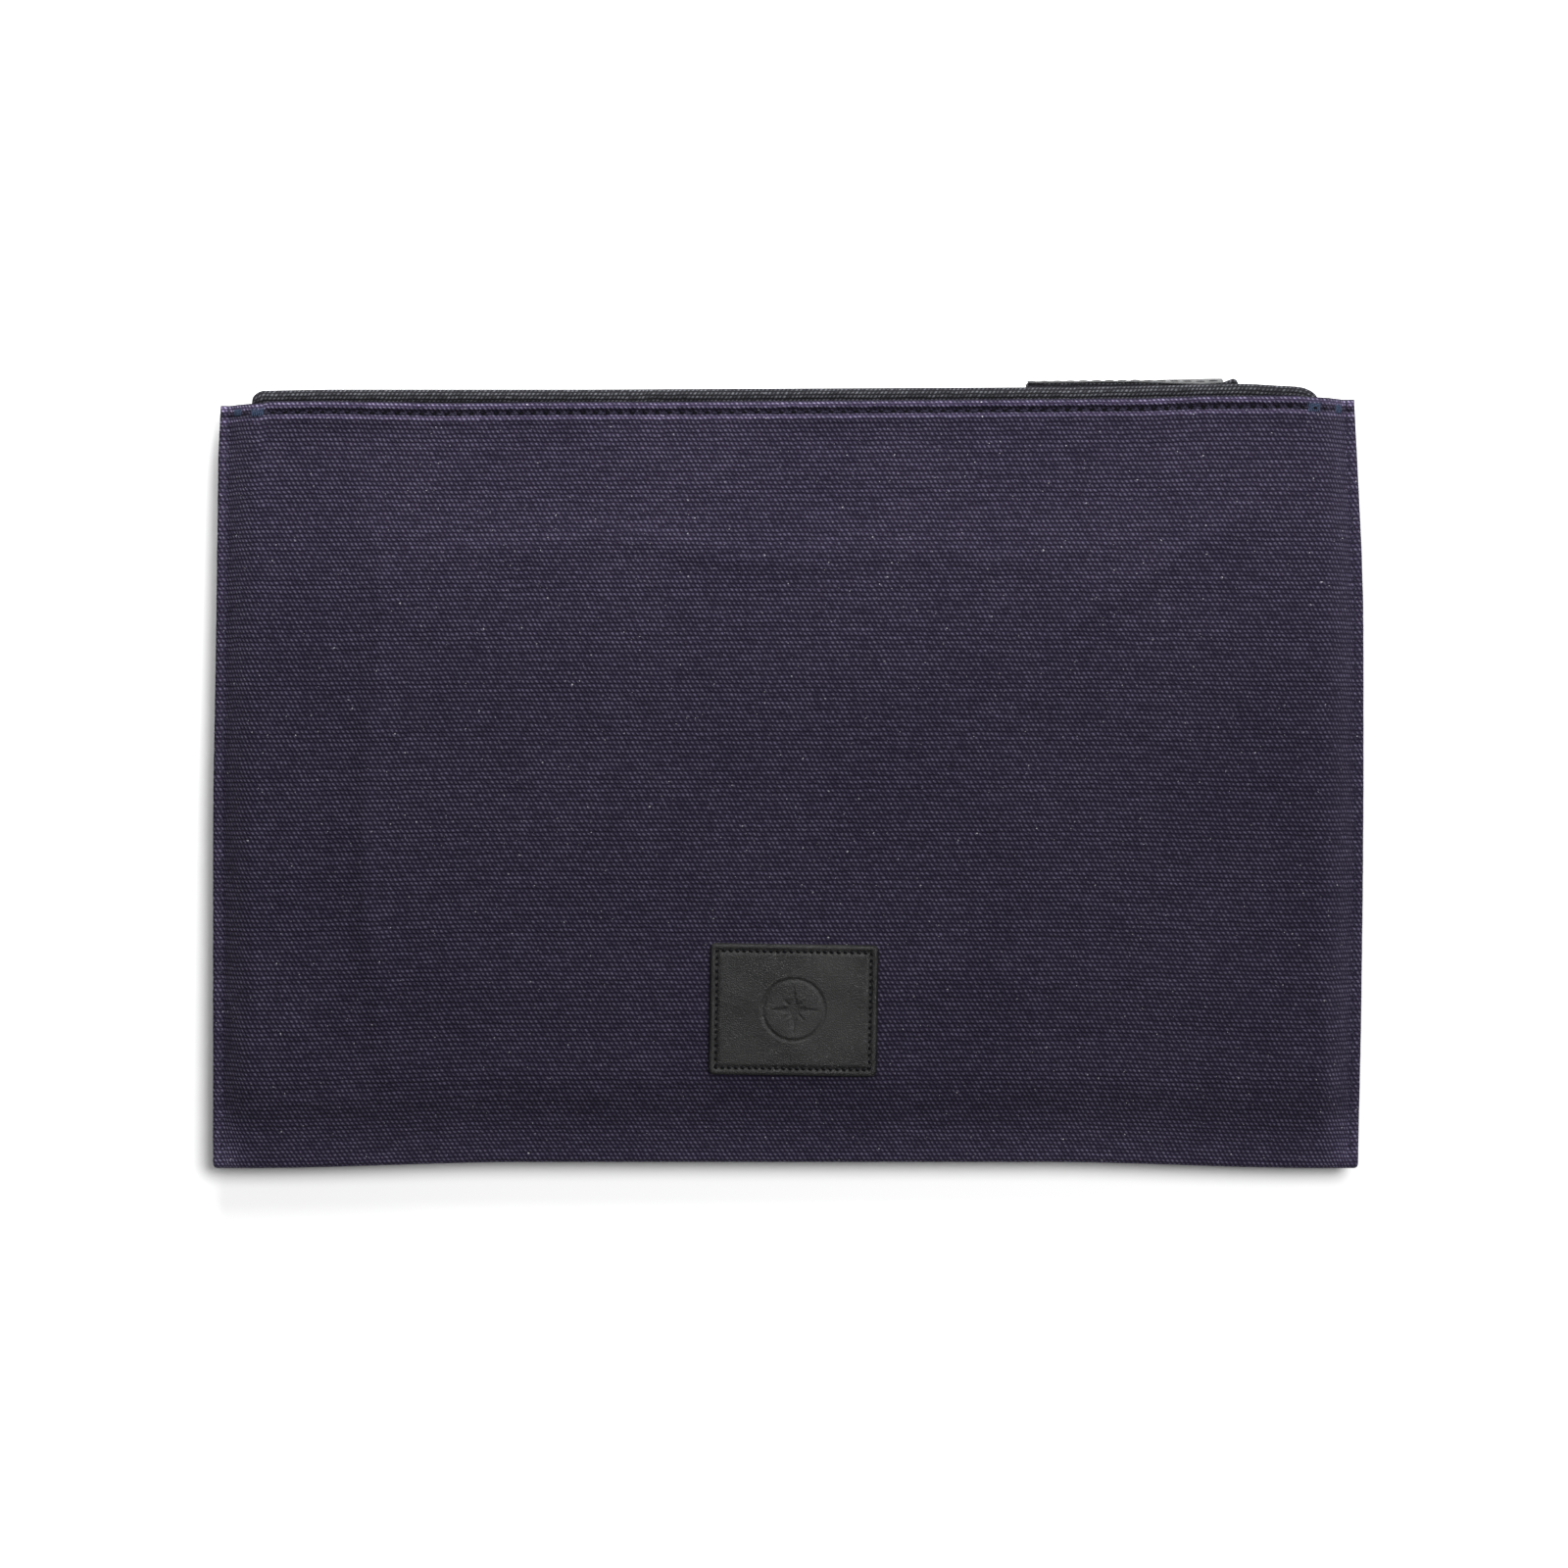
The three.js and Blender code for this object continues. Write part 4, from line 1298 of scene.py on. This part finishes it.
# %% Patch
def compass(x, y):
    """Depth of the pressed mark, from 0 to 1."""
    r = np.hypot(x, y)
    ring = smooth((0.42 - np.abs(r - 6.4)) / 0.16)
    needle = 0.0
    for turn, reach, waist in ((0.0, 5.2, 1.0), (math.pi / 4, 3.2, 0.7)):
        a = np.abs(x * math.cos(turn) + y * math.sin(turn))
        b = np.abs(-x * math.sin(turn) + y * math.cos(turn))
        star = np.minimum(1 - a / reach - b / waist, 1)
        other = np.minimum(1 - b / reach - a / waist, 1)
        needle = np.maximum(needle, smooth(np.maximum(star, other) / 0.12))
    return np.maximum(ring, needle)


def patch_place(px, py):
    """Turns the patch's own x and y into u and v on the front."""
    c, s = math.cos(PATCH_TURN), math.sin(PATCH_TURN)
    return PATCH_CENTRE[0] + c * px - s * py, PATCH_CENTRE[1] + s * px + c * py


def patch_grid():
    across = np.linspace(-1, 1, 141)
    up = np.linspace(-1, 1, 113)
    a, b = np.meshgrid(across, up)
    px, py = a * PATCH[0] / 2, b * PATCH[1] / 2
    reach_x, reach_y = PATCH[0] / 2 - PATCH_CORNER, PATCH[1] / 2 - PATCH_CORNER
    cx, cy = np.clip(px, -reach_x, reach_x), np.clip(py, -reach_y, reach_y)
    far = np.hypot(px - cx, py - cy)
    pull = np.where(far > PATCH_CORNER, PATCH_CORNER / np.maximum(far, 1e-9), 1)
    return cx + (px - cx) * pull, cy + (py - cy) * pull, len(across), len(up)


RIM, MARK_DEPTH = 0.45, 0.26
GROOVE_DEPTH, GROOVE_WIDTH = 0.34, 0.45
px, py, patch_columns, patch_rows = patch_grid()
inset = inside_outline(px, py)
rim = np.sqrt(np.clip(1 - (1 - np.clip(inset / RIM, 0, 1)) ** 2, 0, 1))
groove = GROOVE_DEPTH * np.exp(-(((inset - PATCH_STITCH) / GROOVE_WIDTH) ** 2))
top = PATCH_THICK * (0.35 + 0.65 * rim) - groove - MARK_DEPTH * compass(px, py)
top += 0.05 * np.sin(px * 0.5 + 1) * np.sin(py * 0.6)
u, v = patch_place(px, py)
x, y = outline(u, v)
under = front_height(u, v) + 0.02
layers = [place(x, y, under + top), place(x, y, under)]
faces = grid_faces(patch_columns, patch_rows)
count = patch_columns * patch_rows
border = list(range(patch_columns))
border += [patch_columns * (j + 1) - 1 for j in range(1, patch_rows)]
border += [count - 2 - i for i in range(patch_columns - 1)]
border += [patch_columns * j for j in range(patch_rows - 2, 0, -1)]
walls = [[b, a, a + count, b + count] for a, b in zip(border, border[1:] + border[:1])]
patch_faces = faces.tolist() + (faces[:, ::-1] + count).tolist() + walls
patch = new_piece("patch", np.concatenate(layers), patch_faces, black_leather)
lift(patch)
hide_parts("leather_patch")
print(f"patch: {PATCH[0]} x {PATCH[1]} mm, {len(patch.data.polygons)} faces")

# %% [markdown]
# ## Stitches
# A row of stitches is the same short thread over and over, so Geometry Nodes place it along a path. Each
# thread dips into the cloth at both ends. Where the needle went in, short dark spots are painted shade. The
# path is a line of points that already lies on the surface, and the tree spaces them by the stitch's length.

# %% Stitch tree
stitch_tree, given, result = new_tree("stitches", Pitch=0.0025, Length=0.002, Radius=0.0002, Slant=0.0)
path_curve = add_node(stitch_tree, "GeometryNodeMeshToCurve", {"Mesh": given["Geometry"]})
spots = add_node(
    stitch_tree, "GeometryNodeResampleCurve", {"Curve": path_curve[0], "Length": given["Pitch"]},
    mode="LENGTH",
)
tangent = add_node(stitch_tree, "GeometryNodeInputTangent")
facing = add_node(stitch_tree, "FunctionNodeAlignRotationToVector", {"Vector": tangent[0]}, axis="X")
slant = add_node(stitch_tree, "ShaderNodeCombineXYZ", {"Z": given["Slant"]})
slanted = add_node(stitch_tree, "FunctionNodeEulerToRotation", {"Euler": slant[0]})
turned = add_node(
    stitch_tree, "FunctionNodeRotateRotation", {"Rotation": facing[0], "Rotate By": slanted[0]},
    rotation_space="LOCAL",
)
ball = add_node(stitch_tree, "GeometryNodeMeshUVSphere", {"Segments": 6, "Rings": 6, "Radius": 1.0})
half_length = add_node(stitch_tree, "ShaderNodeMath", {0: given["Length"], 1: 0.5}, operation="MULTIPLY")
thread_size = add_node(
    stitch_tree, "ShaderNodeCombineXYZ", {"X": half_length[0], "Y": given["Radius"], "Z": given["Radius"]}
)
on_end = add_node(stitch_tree, "GeometryNodeTransform", {"Geometry": ball["Mesh"], "Rotation": ON_ITS_SIDE})
one = add_node(stitch_tree, "GeometryNodeTransform", {"Geometry": on_end[0], "Scale": thread_size[0]})
threads = add_node(
    stitch_tree, "GeometryNodeInstanceOnPoints",
    {"Points": spots[0], "Instance": one[0], "Rotation": turned[0]},
)
real = add_node(stitch_tree, "GeometryNodeRealizeInstances", {"Geometry": threads[0]})
stitch_tree.interface.new_socket("Material", in_out="INPUT", socket_type="NodeSocketMaterial")
thread_choice = stitch_tree.nodes["Group Input"].outputs["Material"]
dress(stitch_tree, result, real[0], thread_choice)
print(f"stitch tree: {len(stitch_tree.nodes)} nodes")


# %% Rows of stitches
THREAD_FACES = 36


def stitches(name, points, material, pitch=STITCH_PITCH, share=0.72, radius=0.2, slant=0.0):
    made = grown(name, stitch_tree, {
        "Pitch": pitch * MM, "Length": pitch * share * MM, "Radius": radius * MM, "Slant": slant,
        "Material": material,
    }, points.tolist())
    return made


def on_front(u, v, above=0.0):
    x, y = outline(u, v)
    return place(x, y, front_height(u, v) + above)


def on_back(u, v, above=0.0):
    x, y = outline(u, v)
    return place(x, y, back_height(u, v) - above)


hem_u = np.linspace(-109.5, 109.5, 400)
hem_v = HEIGHT - HEM_STITCH
side_v = np.linspace(2.5, HEIGHT - 1.2, 260)
side_u = HALF - SIDE_STITCH
count = 0
for face, on_face in (("front", on_front), ("back", on_back)):
    rows_here = (
        ("hem", on_face(hem_u, hem_v, 0.06)),
        ("left_seam", on_face(-side_u, side_v, 0.05)),
        ("right_seam", on_face(side_u, side_v, 0.05)),
    )
    for label, points in rows_here:
        row = stitches(f"{face}_{label}_stitches", points, navy_thread)
        count += len(row.data.polygons) // THREAD_FACES
        hang(row, face == "front")
print(f"canvas stitches: {count}")

# %% Painted shade in the needle's holes along the front's hem
holes = stitches(
    "front_hem_hole_shades", on_front(hem_u + STITCH_PITCH / 2, hem_v, 0.05), hole_shade,
    share=0.4, radius=0.3,
)
lift(holes)
print(f"hem needle holes: {len(holes.data.polygons) // THREAD_FACES}")


# %% Patch stitches
def patch_path():
    """Once round the patch, inside its rim, as points on the patch."""
    half_x, half_y = PATCH[0] / 2 - PATCH_STITCH, PATCH[1] / 2 - PATCH_STITCH
    corners = [(-half_x, -half_y), (half_x, -half_y), (half_x, half_y), (-half_x, half_y), (-half_x, -half_y)]
    xs, ys = [], []
    for (x0, y0), (x1, y1) in zip(corners, corners[1:]):
        xs.append(np.linspace(x0, x1, 60)[:-1])
        ys.append(np.linspace(y0, y1, 60)[:-1])
    return np.concatenate(xs), np.concatenate(ys)


u, v = patch_place(*patch_path())
# Each is its name, how deep it lies, its thread, and the share, radius and slant of one stitch.
PATCH_SEWING = (
    ("patch_stitches", 0.22, black_thread, 0.7, 0.2, 0.4),
    # This row is painted shade: dark spots where the needle went through.
    ("patch_hole_shades", 0.16, hole_shade, 0.62, 0.3, -0.5),
)
for name, sunk, material, share, radius, slant in PATCH_SEWING:
    points = on_front(u, v, PATCH_THICK - sunk)
    lift(stitches(name, points, material, 1.38, share, radius, slant))
print(f"patch sewing: {len(PATCH_SEWING)} rows")

# %% Strap stitches
for label, z in (("near", 3.5), ("far", -3.5)):
    row_x = leather_x[1:-3]
    points = place(row_x, leather_top(row_x, z) + 0.03, ZIP_Z + z)
    row = stitches(f"strap_{label}_stitches", points, black_thread, pitch=2.6, radius=0.15)
    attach(row, "pull_strap")


# %% Pocket stitches
for name, (u_range, v_range, height) in pockets.items():
    front = name == "boarding_pass_pocket"
    sign = -1 if front else 1
    inner_u = (u_range[0] + 1.5, u_range[1] - 1.5)
    foot_u = np.linspace(*inner_u, 80)[1:-1]
    seam_u = np.concatenate([np.full(40, inner_u[0]), foot_u, np.full(40, inner_u[1])])
    down = np.linspace(v_range[1] - 0.5, v_range[0] + 1.5, 40)
    seam_v = np.concatenate([down, np.full(78, v_range[0] + 1.5), down[::-1]])
    hem_line = np.linspace(u_range[0] + 0.5, u_range[1] - 0.5, 90)
    hem_v_here = np.full(90, v_range[1] - TOP_HEM + 1)
    for label, us, vs in (("seam", seam_u, seam_v), ("hem", hem_line, hem_v_here)):
        x, y = outline(us, vs)
        points = place(x, y, height(us, vs) + sign * (TWILL / 2 + 0.04))
        row = stitches(f"{name}_{label}_stitches", points, grey_thread, pitch=3.0, radius=0.14)
        hang(row, front)
print(f"pocket stitches: {2 * len(pockets)} rows")

# %% [markdown]
# ## Bar tacks
# At both ends of the mouth the canvas is held by a bar tack, a tight zigzag of bluish thread. It is one
# thread, so it is one tube along a zigzag path. A smaller one holds the top of each side seam.

# %% Bar tacks
TACK_THREAD = 0.13
tack_tree, given, result = new_tree("bar tack", Radius=0.00015)
path_curve = add_node(tack_tree, "GeometryNodeMeshToCurve", {"Mesh": given["Geometry"]})
dress(tack_tree, result, round_bar(tack_tree, path_curve[0], 5, given["Radius"]), blue_thread)


def bar_tack(name, u, v, width, height, turns):
    t = np.linspace(0, 1, turns * 12 + 1)
    us = u + width * (t - 0.5)
    vs = v + height / 2 * (2 * np.abs(2 * ((t * turns) % 1) - 1) - 1)
    made = grown(name, tack_tree, {"Radius": TACK_THREAD * MM}, on_front(us, vs, 0.06).tolist())
    lift(made)


# Each is its name, its place, its width and height in mm, and its turns.
TACKS = (
    ("left_mouth_tack", -111.4, 1.9, 2.6, 1.8, 6),
    ("right_mouth_tack", 110.6, 2.2, 2.6, 2.2, 6),
    ("left_corner_tack", -115.9, 1.7, 1.6, 1.4, 5),
    ("right_corner_tack", 116.2, 2.2, 1.4, 2.0, 4),
)
for name, u, down, width, height, turns in TACKS:
    bar_tack(name, u, HEIGHT - down, width, height, turns)
print(f"bar tacks: {len(TACKS)}")
